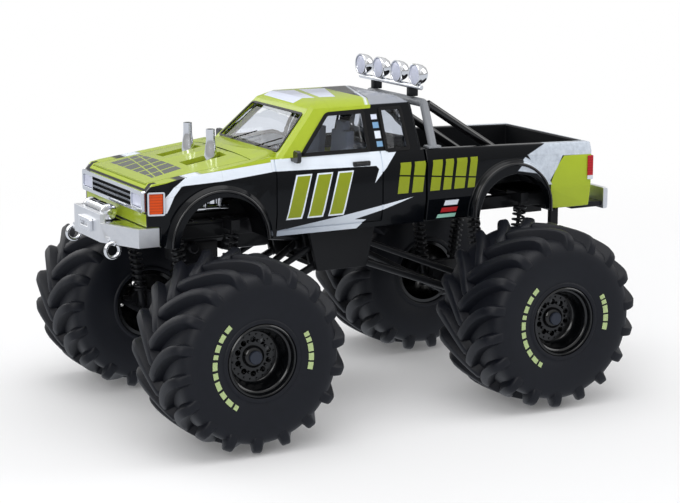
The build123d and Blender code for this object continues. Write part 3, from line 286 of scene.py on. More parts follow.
def cabPaint():
    made = glossPaint("cab_paint")
    side, up, across = made.y, made.z, made.x
    edges = cabEdges

    def within(half, fade):
        return ((half - across.size()) * fade).limited()

    def over(height, fade):
        return ((up - height) * fade).limited()

    outer = (across.size() - edges["outerHalf"]).limited()
    valance = made.anyOf(side, up, stripes["frontGreen"]) * within(edges["valanceHalf"], 8)
    colour = made.mix(made.anyOf(side, up, stripes["fenderGreen"] + stripes["roofGreen"]).most(valance),
                      paint["black"], paint["green"])
    front = ((side + edges["noseFront"]) * -6).limited()
    nose = front * within(edges["noseHalf"], 6) * over(edges["noseLow"], 4)
    colour = made.mix(nose, colour, paint["sealBlack"])
    lip = front * within(edges["lipHalf"], 6) * over(edges["lipLow"], 8)
    colour = made.mix(lip, colour, paint["green"])
    colour = made.mix(made.anyOf(side, up, stripes["band"]) * outer, colour, paint["white"])
    # the low band's metal is silver at the front and fades to white towards the rear
    silverFade = made.node("ShaderNodeMapRange", {}, {"Value": side, "From Min": edges["fadeFrom"],
                                                   "From Max": edges["fadeTo"], "To Min": 0.95,
                                                   "To Max": 0.0})
    metal = made.mix(silverFade, paint["white"], paint["silver"])
    colour = made.mix(made.anyOf(side, up, stripes["lowBand"]) * outer, colour, metal)
    bars = doorBars
    rims, fills = [], []
    for step in range(bars["count"]):
        start = bars["first"] + step * bars["pitch"]
        rims.append(leaning(bars["low"], bars["high"], start, bars["width"], bars["lean"]))
        fills.append(leaning(bars["low"] + bars["rim"], bars["high"] - bars["rim"], start + bars["rim"],
                             bars["width"] - 2 * bars["rim"], bars["lean"]))
    colour = made.mix(made.anyOf(side, up, rims) * outer, colour, paint["white"])
    colour = made.mix(made.anyOf(side, up, fills) * outer, colour, paint["olive"])
    colour = made.mix(blockMask(made, side, up) * outer, colour, paint["olive"])
    for tone, start, end, low, high in smallMarks["pillar"]:
        mark = made.inside(side, up, leaning(low, high, start, end - start, 0.0), markBlur["mark"])
        colour = made.mix(mark * outer, colour, paint[tone])
    roof = over(edges["roofLow"], 8)
    behind = (side + across * edges["roofSlant"] - edges["roofLine"])
    silver = (behind * 6).limited() * roof
    colour = made.mix(silver, colour, paint["roofSilver"])
    edge = (1 - (behind + edges["roofEdge"]).size() * edges["roofEdgeFade"]).limited() * roof
    colour = made.mix(edge, colour, paint["white"])
    colour = made.mix(made.anyOf(across, side, roofBlocks) * roof, colour, paint["lilac"])
    return finishPaint(made, colour, nose * edges["noseDull"])


def blockMask(made, side, up):
    blocks = sideBlocks
    shapes = [leaning(blocks["low"], blocks["high"], start, width, blocks["lean"])
              for start, width in zip(blocks["starts"], blocks["widths"])]
    mask = made.anyOf(side, up, shapes)
    line = ((up - blocks["cut"] + side * blocks["cutTilt"]).size() - blocks["cutHalf"]) / markBlur["cut"]
    return mask * line.limited()


def bedPaint():
    made = glossPaint("bed_paint")
    side, up = made.y, made.z
    outer = ((made.x.size() - bedEdges["outerHalf"]) * 4).limited().most(
        ((side - bedEdges["tailgate"]) * 4).limited())
    colour = made.mix(made.anyOf(side, up, stripes["bedGreen"]) * outer, paint["black"], paint["green"])
    metal = made.mix(made.noise(0.8, 4.0, 0.7), paint["silver"], paint["white"])
    colour = made.mix(made.anyOf(side, up, stripes["bedSilver"], markBlur["silver"]) * outer, colour, metal)
    colour = made.mix(blockMask(made, side, up) * outer, colour, paint["olive"])
    for tone, start, end, low, high in smallMarks["bed"]:
        mark = made.inside(side, up, leaning(low, high, start, end - start, 0.3), markBlur["mark"])
        colour = made.mix(mark * outer, colour, paint[tone])
    return finishPaint(made, colour, (1 - outer) * bedEdges["insideDull"])


def hoodPaint():
    made = glossPaint("hood_paint")
    bars = hoodBars
    shapes = []
    for start, width in zip(bars["starts"], bars["widths"]):
        shapes.append([(start, bars["front"]), (start + width, bars["front"]),
                       (start + width - bars["lean"], bars["back"]), (start - bars["lean"], bars["back"])])
    mask = made.anyOf(made.x, made.y, shapes)
    slash = made.y + made.x * bars["cutTilt"]
    for along in bars["cuts"]:
        mask = mask * (((slash - along).size() - bars["cutHalf"]) / markBlur["cut"]).limited()
    colour = made.mix(mask, paint["green"], paint["blockGrey"])
    return finishPaint(made, colour)


def plainPaint(name, colour, rough, spread, **extra):
    made = glossPaint(name, **extra)
    grain = made.noise(1.4, 4.0, 0.6)
    made.feed("Base Color", made.toned(colour, 0.9 + grain * 0.2))
    made.feed("Roughness", rough + grain * spread)
    made.bump(made.noise(2.2, 3.0), 0.12, 0.02)
    return made.material


def chrome(name="chrome", rough=0.05):
    made = Finish(name, {"Metallic": 1.0, "Roughness": rough})
    haze = made.noise(0.8, 4.0, 0.6)
    made.feed("Base Color", made.mix(haze, screen(224, 226, 231), screen(246, 247, 249)))
    made.feed("Roughness", rough + haze * 0.10)
    made.bump(made.noise(1.6, 2.0), 0.12, 0.02)
    return made.material


def rubber():
    made = Finish("tyre_rubber", {"Specular IOR Level": 0.3, "Roughness": 0.5})
    cloud = made.noise(0.5, 5.0, 0.6)
    fine = made.noise(7.0, 4.0, 0.7)
    made.feed("Base Color", made.mix(cloud, screen(6, 9, 17), screen(13, 16, 26)))
    made.feed("Roughness", 0.4 + fine * 0.2)
    made.bump(fine + made.noise(1.2, 3.0) * 0.6, 0.25, 0.03)
    return made.material


def windowPlastic():
    made = Finish("window_plastic", {"Transmission Weight": 1.0, "IOR": 1.3, "Roughness": 0.02,
                                     "Specular IOR Level": 0.4})
    made.feed("Base Color", made.toned(screen(247, 249, 252), 0.97 + made.noise(0.4, 2.0) * 0.03))
    made.bump(made.noise(0.35, 1.0), 0.25, 0.05)
    return made.material


grilleBars = {"half": 10.5, "low": 47.1, "top": 50.2}


def grilleMetal():
    # bright at its frame, duller on the bars between the lamps
    made = Finish("grille_metal", {"Metallic": 1.0, "Roughness": 0.12})
    bars = ((grilleBars["half"] - made.x.size()) * 5).limited()
    bars = bars * ((grilleBars["top"] - made.z) * 6).limited() * ((made.z - grilleBars["low"]) * 6).limited()
    haze = made.noise(0.8, 4.0, 0.6)
    made.feed("Base Color", made.mix(bars, screen(226, 229, 234), screen(120, 124, 132)))
    made.feed("Roughness", 0.08 + haze * 0.12 + bars * 0.12)
    return made.material


def lampPlastic(name, tint, ribbed=True, whiteBelow=None):
    made = Finish(name, {"Roughness": 0.12, "Coat Weight": 0.15, "Coat Roughness": 0.03,
                         "Specular IOR Level": 0.3})
    # ribbed lenses get painted light and shade in bands along their ribs; plain lenses get a random tone;
    # both also drive the bump
    if ribbed:
        ribs = made.node("ShaderNodeTexWave", {"bands_direction": "Z"}, {"Vector": made.inMm, "Scale": 0.55,
                                                                         "Distortion": 0.0})
    else:
        ribs = made.noise(0.6, 3.0)
    # the colour is lightened and darkened by the ribs' painted light and shade on ribbed lenses, and by
    # random tone on plain ones
    tone = made.toned(tint, 0.8 + ribs * 0.3)
    if whiteBelow:
        tone = made.mix(((whiteBelow - made.z) * 6).limited(), tone, screen(212, 218, 228))
    made.feed("Base Color", tone)
    made.bump(ribs, 0.3, 0.05)
    return made.material


finishes = {
    "cab": cabPaint(),
    "bed": bedPaint(),
    "hood": hoodPaint(),
    "chrome": chrome(),
    "softChrome": chrome("satin_chrome", 0.3),
    "rubber": rubber(),
    "rim": plainPaint("rim_black", screen(5, 6, 8), 0.14, 0.1, **{"Specular IOR Level": 0.5}),
    "chassis": plainPaint("chassis_black", screen(22, 23, 26), 0.34, 0.16),
    "glossBlack": plainPaint("gloss_black", screen(12, 12, 14), 0.1, 0.08, **{"Specular IOR Level": 0.6}),
    "hoop": plainPaint("hoop_grey", screen(136, 139, 144), 0.26, 0.14),
    "trim": plainPaint("trim_grey", screen(100, 108, 124), 0.5, 0.2),
    "steel": plainPaint("pin_steel", screen(46, 51, 62), 0.34, 0.12),
    "seal": plainPaint("seal_black", screen(10, 10, 12), 0.4, 0.15),
    "paleGreen": plainPaint("pale_green_print", screen(168, 186, 132), 0.5, 0.15),
    "glass": windowPlastic(),
    "lens": lampPlastic("clear_lens", screen(206, 210, 230), ribbed=False),
    "amber": lampPlastic("amber_lens", screen(206, 70, 0)),
    "red": lampPlastic("red_lens", screen(176, 20, 30), whiteBelow=46.4),
    "grille": grilleMetal(),
}
print("finishes made:", len(finishes))


# Meshes: angles in degrees, widths in millimetres
sharpAngle = 34
edgeRounding = {"segments": 3, "from": 30, "merge": 0.002, "flat": 0.6, "unclamped": "bed_body"}
slotOf = {"hoop": "grey_paint", "glossBlack": "gloss_black", "seal": "gloss_black", "chrome": "chrome",
          "lens": "clear_lens", "chassis": "chassis_black", "steel": "steel", "rim": "rim_black",
          "rubber": "tyre", "paleGreen": "tyre"}


def newPiece(name, mesh, finish, body, *stoodFor, sharp=sharpAngle, slot=None):
    piece = bpy.data.objects.new(name, mesh)
    bpy.context.scene.collection.objects.link(piece)
    mesh.materials.clear()
    mesh.materials.append(finishes[finish])
    mesh.shade_smooth()
    mesh.set_sharp_from_angle(angle=math.radians(sharp))
    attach(piece, body)
    if stoodFor:
        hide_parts(*stoodFor)
    return piece


def softened(node, finish, width):
    # a merged copy of a CAD node with its edges rounded as a casting's are
    shape = bmesh.new()
    shape.from_mesh(nodes[node].data)
    merge = edgeRounding["merge"] * mm
    bmesh.ops.remove_doubles(shape, verts=shape.verts, dist=merge)
    bmesh.ops.dissolve_degenerate(shape, edges=shape.edges, dist=merge)
    bmesh.ops.dissolve_limit(shape, angle_limit=math.radians(edgeRounding["flat"]), verts=shape.verts,
                             edges=shape.edges)
    mesh = bpy.data.meshes.new(node + "_soft")
    shape.to_mesh(mesh)
    shape.free()
    piece = newPiece(node + "_soft", mesh, finish, nodes[node]["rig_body"], node)
    rounding = piece.modifiers.new("rounding", "BEVEL")
    rounding.limit_method = "ANGLE"
    rounding.angle_limit = math.radians(edgeRounding["from"])
    rounding.width = width * mm
    rounding.segments = edgeRounding["segments"]
    rounding.harden_normals = True
    rounding.use_clamp_overlap = node != edgeRounding["unclamped"]


# Each casting's finish and the width of its rounded edges
castings = {
    "cab_body": ("cab", 0.32), "bed_body": ("bed", 0.32), "hood": ("hood", 0.2),
    "front_bumper": ("softChrome", 0.2), "rear_bumper": ("softChrome", 0.16), "grille": ("grille", 0.08),
    "fairlead": ("chrome", 0.12),
    "frame": ("chassis", 0.12), "link_mount": ("chassis", 0.12), "transfer_case": ("chassis", 0.2),
    "hitch": ("chassis", 0.14), "engine": ("chassis", 0.2), "seats": ("trim", 0.3),
    "steering_wheel": ("trim", 0.08), "mirrors": ("glossBlack", 0.24), "headlamps": ("lens", 0.1),
    "marker_lamps": ("amber", 0.1), "tail_lamps": ("red", 0.14), "glazing": ("glass", 0.05),
}
for node, (finish, width) in castings.items():
    softened(node, finish, width)
print("castings rounded:", len(castings))


# Shapes are drawn in millimetres and made metres when their piece is finished
def fresh(shape, before):
    return [vert for vert in shape.verts if vert not in before]


def edgesOf(verts):
    return list({edge for vert in verts for edge in vert.link_edges})


def facesOf(verts):
    return list({face for vert in verts for face in vert.link_faces})


def vertsIn(made):
    return [item for item in made["geom"] if isinstance(item, bmesh.types.BMVert)]


def turned(shape, profile, start, aim, steps=40, closed=False):
    # spins an outline of (along, radius) points about a line; an open one starts and ends on it
    before = set(shape.verts)
    line = [shape.verts.new((along, 0, radius)) for along, radius in profile]
    edges = [shape.edges.new(pair) for pair in zip(line, line[1:])]
    if closed:
        edges.append(shape.edges.new((line[-1], line[0])))
    bmesh.ops.spin(shape, geom=line + edges, cent=(0, 0, 0), axis=(1, 0, 0), angle=turn, steps=steps,
                   use_merge=True, use_duplicate=False)
    bmesh.ops.remove_doubles(shape, verts=fresh(shape, before), dist=1e-5)
    facing = Vector(aim).to_track_quat("X", "Z").to_matrix().to_4x4()
    bmesh.ops.transform(shape, matrix=Matrix.Translation(start) @ facing, verts=fresh(shape, before))


def bar(shape, start, end, radius, endRadius=None, steps=24, soft=0.08):
    aim = Vector(end) - Vector(start)
    tip = radius if endRadius is None else endRadius
    turned(shape, [(0, 0), (0, radius - soft), (soft, radius), (aim.length - soft, tip),
                   (aim.length, tip - soft), (aim.length, 0)], start, aim, steps)


def softBox(shape, low, high, soft, segments=2, move=(0, 0, 0)):
    low, high = (Vector([place + shift for place, shift in zip(corner, move)]) for corner in (low, high))
    size = high - low
    made = bmesh.ops.create_cube(shape, size=1, matrix=Matrix.Translation((low + high) / 2)
                                 @ Matrix.Diagonal((size.x, size.y, size.z, 1)))
    bmesh.ops.bevel(shape, geom=edgesOf(made["verts"]), offset=soft, segments=segments, profile=0.5,
                    affect="EDGES", material=-1)


def rounded(corners, radius, steps=6):
    # a run through corners, with an arc at each one between its ends
    path = [Vector(corners[0])]
    for before, corner, after in zip(corners, corners[1:], corners[2:]):
        corner = Vector(corner)
        back, ahead = (Vector(before) - corner).normalized(), (Vector(after) - corner).normalized()
        half = back.angle(ahead) / 2
        reach = radius / math.tan(half)
        centre = corner + (back + ahead).normalized() * radius / math.sin(half)
        first, last = corner + back * reach - centre, corner + ahead * reach - centre
        path += [centre + first.slerp(last, step / steps) for step in range(steps + 1)]
    return path + [Vector(corners[-1])]


def tube(shape, path, across, radius, sides=16):
    # a round tube along a flat path; across is the normal of the path's plane
    across = Vector(across).normalized()
    rings = []
    for index, point in enumerate(path):
        ahead = (path[min(index + 1, len(path) - 1)] - path[max(index - 1, 0)]).normalized()
        out = ahead.cross(across)
        angles = [turn * step / sides for step in range(sides)]
        rings.append([shape.verts.new(point + out * radius * math.cos(a) + across * radius * math.sin(a))
                      for a in angles])
    for ring, other in zip(rings, rings[1:]):
        for step in range(sides):
            shape.faces.new((ring[step], ring[step - 1], other[step - 1], other[step]))
    shape.faces.new(rings[0])
    shape.faces.new(reversed(rings[-1]))


def coil(shape, start, end, radius, wire, turns, steps=18):
    # a spring's round wire, spun about its line with a rise at each step
    before = set(shape.verts)
    aim = Vector(end) - Vector(start)
    place = Matrix.Translation((0, 0, radius)) @ Matrix.Rotation(turn / 4, 4, "X")
    wireEnd = bmesh.ops.create_circle(shape, cap_ends=True, segments=8, radius=wire, matrix=place)["verts"]
    total = turns * steps
    bmesh.ops.spin(shape, geom=wireEnd + edgesOf(wireEnd) + facesOf(wireEnd), cent=(0, 0, 0), axis=(1, 0, 0),
                   angle=turn * turns, dvec=(aim.length / total, 0, 0), steps=total, use_merge=False,
                   use_duplicate=False)
    facing = aim.to_track_quat("X", "Z").to_matrix().to_4x4()
    bmesh.ops.transform(shape, matrix=Matrix.Translation(start) @ facing, verts=fresh(shape, before))


def ring(shape, outline, width, rise, corner):
    # a flat seal round an opening, its corners rounded
    before = set(shape.verts)
    verts = [shape.verts.new(point) for point in outline]
    shape.faces.new(verts)
    bmesh.ops.bevel(shape, geom=verts, offset=corner, segments=5, profile=0.5, affect="VERTICES", material=-1)
    face = max(facesOf(fresh(shape, before)), key=lambda f: f.calc_area())
    inner = bmesh.ops.inset_region(shape, faces=[face], thickness=width, depth=0, use_boundary=True,
                                    use_even_offset=True)
    bmesh.ops.delete(shape, geom=[face], context="FACES_ONLY")
    lifted = bmesh.ops.extrude_face_region(shape, geom=inner["faces"], use_keep_orig=True)
    bmesh.ops.translate(shape, vec=rise, verts=vertsIn(lifted))


def finished(name, shape, finish, *stoodFor, body="truck", mirror=False, sharp=sharpAngle):
    if mirror:
        copied = bmesh.ops.duplicate(shape, geom=shape.verts[:] + shape.edges[:] + shape.faces[:])
        bmesh.ops.scale(shape, vec=(-1, 1, 1), verts=vertsIn(copied))
    bmesh.ops.recalc_face_normals(shape, faces=shape.faces)
    bmesh.ops.scale(shape, vec=(mm, mm, mm), verts=shape.verts)
    mesh = bpy.data.meshes.new(name)
    shape.to_mesh(mesh)
    shape.free()
    newPiece(name, mesh, finish, body, *stoodFor, sharp=sharp, slot=slotOf[finish])


def at(node, corner, axis):
    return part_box(node)[corner][axis] / mm


frontY, rearY, axleZ = -38.6, 32.4, 19.5

# Roll hoop, struts, light bar and the four lamps
hoop = {"foot": (16.0, 13.8, 55.0), "top": (12.8, 13.8, 65.2), "bend": 2.0, "radius": 0.95,
        "plate": ((-1.5, 12.3, 55.0), (1.1, 15.3, 55.5), 0.12)}
shape = bmesh.new()
foot, top = hoop["foot"], hoop["top"]
tube(shape, rounded([foot, top, (-top[0], top[1], top[2]), (-foot[0], foot[1], foot[2])], hoop["bend"]),
     (0, 1, 0), hoop["radius"])
for side in (-1, 1):
    softBox(shape, *hoop["plate"], move=(side * foot[0], 0, 0))
finished("roll_hoop_tube", shape, "hoop", "roll_hoop")

strut = {"top": (12.2, 14.5, 64.0), "foot": (12.2, 42.3, 46.2), "radius": 0.95,
         "plate": ((10.9, 40.6, 45.8), (13.5, 44.2, 46.3), 0.12)}
shape = bmesh.new()
bar(shape, strut["top"], strut["foot"], strut["radius"])
softBox(shape, *strut["plate"])
finished("roll_strut_tubes", shape, "glossBlack", "roll_struts", mirror=True)

lightBar = {"half": 13.6, "along": 12.25, "height": 67.75, "radius": 0.55, "lamps": (-12.0, -4.0, 4.0, 12.0),
            "clamp": ((-0.6, 11.75, 67.4), (0.6, 12.75, 68.9), 0.14),
            "foot": ((7.2, 12.2, 65.3), (8.8, 14.3, 67.9), 0.2)}
shape = bmesh.new()
bar(shape, (-lightBar["half"], lightBar["along"], lightBar["height"]),
    (lightBar["half"], lightBar["along"], lightBar["height"]), lightBar["radius"], soft=0.15)
for x in lightBar["lamps"]:
    softBox(shape, *lightBar["clamp"], move=(x, 0, 0))
finished("light_bar_tube", shape, "chrome", "light_bar")
shape = bmesh.new()
softBox(shape, *lightBar["foot"])
finished("light_bar_feet", shape, "chassis", "light_bar", mirror=True)

roofLamp = {"along": 11.3, "height": 70.45, "stud": (13.9, 14.2), "studRadius": 0.4,
            "shell": [(1.15, 0), (1.15, 1.95), (1.0, 2.0), (0.2, 2.05), (-0.05, 2.15), (-0.08, 2.32),
                      (0.1, 2.4), (0.35, 2.38), (0.45, 2.28), (1.0, 2.26), (1.9, 2.0), (2.5, 1.6),
                      (2.83, 1.1), (2.95, 0.5), (2.97, 0)],
            "glass": [(1.0, 0), (1.0, 1.98), (0.32, 2.04), (0.12, 1.9), (-0.02, 1.4), (-0.1, 0.7),
                      (-0.12, 0)]}
shape, glassShape = bmesh.new(), bmesh.new()
for x in lightBar["lamps"]:
    for made, part in ((shape, "shell"), (glassShape, "glass")):
        turned(made, roofLamp[part], (x, roofLamp["along"], roofLamp["height"]), (0, 1, 0))
    bar(shape, *[(x, along, roofLamp["height"]) for along in roofLamp["stud"]], roofLamp["studRadius"])
finished("roof_lamp_shells", shape, "chrome", "roof_lamps")
finished("roof_lamp_glass", glassShape, "lens", "roof_lenses")

# Stacks and headers: points of the header pipes are (across, height)
stack = {"foot": (5.85, -33.9, 45.4),
         "pipe": [(0, 1.5), (9.0, 1.42), (10.5, 1.32), (11.8, 1.12), (12.8, 0.98), (13.6, 0.93), (15.5, 0.93),
                  (15.5, 0.66), (13.0, 0.66), (13.0, 0.0)]}
header = {"middle": -36.0, "pitch": 3.3, "pipe": ((4.3, 48.9), (7.6, 48.3), (6.9, 44.5)), "bend": 1.3,
          "radius": 0.72, "log": ((6.8, -41.5, 44.45), (6.8, -30.5, 44.45), 0.9)}
shape = bmesh.new()
turned(shape, stack["pipe"], stack["foot"], (0, 0, 1), 40)
finished("stack_pipes", shape, "chrome", "stacks", mirror=True)
shape = bmesh.new()
for step in (-1, 0, 1):
    along = header["middle"] + step * header["pitch"]
    path = rounded([(x, along, z) for x, z in header["pipe"]], header["bend"])
    tube(shape, path, (0, 1, 0), header["radius"])
bar(shape, *header["log"], soft=0.2)
finished("header_pipes", shape, "chrome", "headers", mirror=True)

# Winch with its drum of rope, and the tow rings: centres stand off the corners of their nodes
winch = {"centre": 1.7, "endX": 5.6, "knobX": 5.75, "ropeX": 4.2, "turns": 14, "pitch": 0.3,
         "end": [(0, 0), (0, 1.3), (0.12, 1.55), (0.35, 1.68), (1.35, 1.7), (1.5, 1.62), (1.5, 0)],
         "knob": [(0, 0), (0, 0.55), (0.08, 0.62), (0.3, 0.62), (0.3, 0)],
         "tieX": 2.6, "tie": ((-2.4, -0.5, 1.15), (2.4, 0.5, 1.6), 0.12)}
winchY, winchZ = at("winch", 0, 1) + winch["centre"], at("winch", 0, 2) + winch["centre"]
shape = bmesh.new()
turned(shape, winch["end"], (winch["endX"], winchY, winchZ), (-1, 0, 0), 36)
turned(shape, winch["knob"], (winch["knobX"], winchY, winchZ), (-1, 0, 0), 24)
rope = [(0, 0), (0, 1.0)]
for step in range(winch["turns"]):
    start = winch["pitch"] * step
    rope += [(start + 0.05, 1.2), (start + 0.15, 1.27), (start + 0.25, 1.2)]
rope += [(winch["ropeX"], 1.0), (winch["ropeX"], 0)]
turned(shape, rope, (winch["ropeX"], winchY, winchZ), (-1, 0, 0), 28)
for side in (-1, 1):
    softBox(shape, *winch["tie"], move=(side * winch["tieX"], winchY, winchZ))
finished("winch_drum", shape, "chrome", "winch", mirror=True)
towRing = {"centre": 1.9, "x": 11.0, "radius": 1.48, "wire": 0.42, "sides": 12,
           "eye": ((-0.55, 0.2, 0.9), (0.55, 1.5, 1.9), 0.15)}
shape = bmesh.new()
ringY, ringZ = at("tow_hooks", 0, 1) + towRing["centre"], at("tow_hooks", 0, 2) + towRing["centre"]
section = [(towRing["wire"] * math.cos(turn * step / towRing["sides"]),
            towRing["radius"] + towRing["wire"] * math.sin(turn * step / towRing["sides"]))
           for step in range(towRing["sides"])]
turned(shape, section, (towRing["x"], ringY, ringZ), (1, 0, 0), 36, closed=True)
softBox(shape, *towRing["eye"], move=(towRing["x"], ringY, ringZ))
finished("tow_rings", shape, "chrome", "tow_hooks", mirror=True)

# Axles: collars as (start, end, radius, soft) across, brackets as (across, half length, low, high, soft)
axle = {"half": 23.0, "radius": 1.65, "neck": 5.5, "coverBolts": 10, "boltX": 1.55, "boltRing": 3.95,
        "boltLong": 0.75, "boltRadius": 0.24,
        "diff": [(-3.0, 0), (-3.0, 2.6), (-2.7, 3.3), (-1.9, 4.1), (-1.6, 4.4), (1.6, 4.4), (1.9, 4.1),
                 (2.7, 3.3), (3.0, 2.6), (3.0, 0)],
        "collars": ((21.0, 23.0, 3.0, 0.25), (18.6, 20.0, 2.1, 0.2)),
        "brackets": ((9.8, 3.4, 17.1, 24.1, 0.18), (12.5, 4.5, 17.8, 18.9, 0.14)), "bracketHalf": 1.0,
        "sideBolt": (10.8, 2.4), "sideBoltHeights": (19.5, 23.2), "sideBoltLong": 0.3, "sideBoltRadius": 0.42}
for name, y, nose in (("front_axle", frontY, 1), ("rear_axle", rearY, -1)):
    shape = bmesh.new()
    bar(shape, (-axle["half"], y, axleZ), (axle["half"], y, axleZ), axle["radius"])
    turned(shape, axle["diff"], (0, y, axleZ), (1, 0, 0), 36)
    bar(shape, (0, y, axleZ), (0, y + nose * axle["neck"], axleZ), axle["radius"])
    for step in range(axle["coverBolts"]):
        around = turn * (step + 0.5) / axle["coverBolts"]
        spot = Vector((axle["boltX"], y + axle["boltRing"] * math.cos(around),
                       axleZ + axle["boltRing"] * math.sin(around)))
        bar(shape, spot, spot + Vector((axle["boltLong"], 0, 0)), axle["boltRadius"], steps=6, soft=0.04)
    for side in (-1, 1):
        for start, end, radius, soft in axle["collars"]:
            bar(shape, (side * start, y, axleZ), (side * end, y, axleZ), radius, soft=soft)
        for middle, half, low, high, soft in axle["brackets"]:
            softBox(shape, (-axle["bracketHalf"], y - half, low), (axle["bracketHalf"], y + half, high), soft,
                    move=(side * middle, 0, 0))
        across, along = axle["sideBolt"]
        for end in (-1, 1):
            for rise in axle["sideBoltHeights"]:
                spot = Vector((side * across, y + end * along, rise))
                bar(shape, spot, spot + Vector((side * axle["sideBoltLong"], 0, 0)), axle["sideBoltRadius"],
                    steps=6, soft=0.06)
    finished(name + "_casting", shape, "chassis", name)

# Drive shafts: from the pinion's end to the transfer case, with a joint's cross near each end
driveShaft = {"caseFront": -10.4, "caseRear": -1.7, "caseZ": 33.72, "pinion": 5.54, "cup": 1.3, "tube": 0.75,
              "tubeStart": 0.8, "crosses": (0.08, 0.92), "crossHalf": 1.1, "crossRadius": 0.45}
shape = bmesh.new()
for caseY, pinionY, nose in ((driveShaft["caseFront"], frontY + driveShaft["pinion"], 1),
                             (driveShaft["caseRear"], rearY - driveShaft["pinion"], -1)):
    caseZ, cup, reach = driveShaft["caseZ"], driveShaft["cup"], nose * driveShaft["tubeStart"]
    low, high = Vector((0, pinionY + reach, axleZ)), Vector((0, caseY - reach, caseZ))
    bar(shape, (0, pinionY, axleZ), (0, pinionY + nose * cup, axleZ), cup, soft=0.2)
    bar(shape, (0, caseY - nose * 0.05, caseZ), (0, caseY - nose * cup, caseZ), cup, soft=0.2)
    bar(shape, low, high, driveShaft["tube"])
    for share in driveShaft["crosses"]:
        spot, half = low.lerp(high, share), Vector((driveShaft["crossHalf"], 0, 0))
        bar(shape, spot - half, spot + half, driveShaft["crossRadius"], steps=12)
finished("drive_shaft_tubes", shape, "chassis", "drive_shafts")

# Links: bars as (low height, high height, radius), with lock nuts at shares of their length
link = {"x": 9.8, "frontPin": -9.8, "rearPin": -2.3, "foot": 3.45, "nuts": (0.03, 0.9), "nutLong": 1.1,
        "nutOver": 0.25, "bars": ((axleZ, 31.4, 0.82), (23.25, 36.0, 0.68)), "eyeHalf": 1, "footEye": 1.0,
        "pinEye": 1.3}
for name, axleY, pinY, nose in (("front_links", frontY, link["frontPin"], 1),
                                ("rear_links", rearY, link["rearPin"], -1)):
    shape = bmesh.new()
    for lowZ, highZ, radius in link["bars"]:
        start, end = Vector((link["x"], axleY + nose * link["foot"], lowZ)), Vector((link["x"], pinY, highZ))
        bar(shape, start, end, radius)
        for share in link["nuts"]:
            spot = start.lerp(end, share)
            bar(shape, spot, spot + (end - start).normalized() * link["nutLong"], radius + link["nutOver"],
                steps=6, soft=0.06)
        half = Vector((link["eyeHalf"], 0, 0))
        for eye, eyeRadius in ((start, link["footEye"]), (end, link["pinEye"])):
            bar(shape, eye - half, eye + half, eyeRadius, soft=0.15)
    finished(name + "_rods", shape, "chassis", name, mirror=True)

steering = {"half": 22.0, "along": -43.8, "height": 20.1, "radius": 0.58,
            "arm": ((-1.0, -44.4, 19.5), (1.0, -41.3, 20.7), 0.14), "pin": (19.2, 21.2), "pinRadius": 0.7,
            "nut": (14.0, 17.0), "nutRadius": 0.75}
shape = bmesh.new()
half, along, height = steering["half"], steering["along"], steering["height"]
bar(shape, (-half, along, height), (half, along, height), steering["radius"])
for side in (-1, 1):
    softBox(shape, *steering["arm"], move=(side * half, 0, 0))
    bar(shape, *[(side * half, along, z) for z in steering["pin"]], steering["pinRadius"], steps=16)
    bar(shape, *[(side * x, along, height) for x in steering["nut"]], steering["nutRadius"], steps=6)
finished("steering_rod_bar", shape, "chassis", "steering_rod")

# Shocks: the body, rod, collars and spring stand at shares of the way from foot to top
shock = {"x": 12.5, "foot": (3.4, 18.9), "top": (6.4, 40.7), "bodyTo": 0.55, "body": 0.78, "rodFrom": 0.5,
         "rod": 0.4, "collars": (0.24, 0.93), "collarLong": 0.025, "collar": 1.5, "capTo": 0.06, "cap": 1.1,
         "spring": (0.265, 0.925), "coil": (1.25, 0.27, 12)}
for name, axleY in (("front_shocks", frontY), ("rear_shocks", rearY)):
    shape, springShape = bmesh.new(), bmesh.new()
    for nose in (-1, 1):
        low, high = [Vector((shock["x"], axleY + nose * along, z))
                     for along, z in (shock["foot"], shock["top"])]
        bar(shape, low, low.lerp(high, shock["bodyTo"]), shock["body"])
        bar(shape, low.lerp(high, shock["rodFrom"]), high, shock["rod"])
        for share in shock["collars"]:
            bar(shape, low.lerp(high, share), low.lerp(high, share + shock["collarLong"]), shock["collar"],
                soft=0.12)
        bar(shape, low, low.lerp(high, shock["capTo"]), shock["cap"], soft=0.15)
        coil(springShape, *[low.lerp(high, share) for share in shock["spring"]], *shock["coil"])
    finished(name + "_dampers", shape, "chassis", name, mirror=True)
    finished(name + "_springs", springShape, "chassis", name, mirror=True)

pin = {"half": 36.6, "radius": 0.99, "headX": 36.5,
       "head": [(0, 0), (0, 1.4), (0.3, 1.4), (0.45, 1.3), (0.5, 1.1), (0.42, 0.5), (0.42, 0)]}
for end, y in (("front", frontY), ("rear", rearY)):
    shape = bmesh.new()
    bar(shape, (-pin["half"], y, axleZ), (pin["half"], y, axleZ), pin["radius"])
    for side in (-1, 1):
        turned(shape, pin["head"], (side * pin["headX"], y, axleZ), (side, 0, 0), 28)
    finished(end + "_axle_bar", shape, "steel", end + "_axle_pin")
print("running gear made")


# Rims: a spun barrel and hub, a face plate with ten holes, and two rings of bolts
rimBarrel = [(17.9, 7.35), (18.0, 7.43), (39.5, 7.43), (39.85, 7.36), (40.0, 7.15), (39.95, 6.95),
             (39.75, 6.8), (39.2, 6.7), (38.9, 6.62), (38.75, 6.3), (38.6, 6.2), (37.6, 6.02),
             (36.2, 5.62), (35.6, 5.3), (35.36, 5.0), (34.3, 5.0), (34.2, 6.6), (17.9, 6.65)]
rimHub = [(22.95, 1.07), (22.95, 2.0), (35.4, 2.0), (35.5, 2.25), (35.95, 2.2), (36.1, 2.05), (36.3, 1.75),
          (36.38, 1.5), (36.38, 1.07)]
rimFace = {"front": 35.42, "back": 34.3, "outer": 5.12, "inner": 1.9, "holeRing": 3.5, "hole": 0.62,
           "holes": 10, "boltSunk": 0.05, "boltRing": 4.55, "bolt": (0.24, 0.192), "boltLong": 0.3,
           "nutRing": 3.5 * 0.93, "nut": (0.36, 0.3), "nutLong": 0.5}


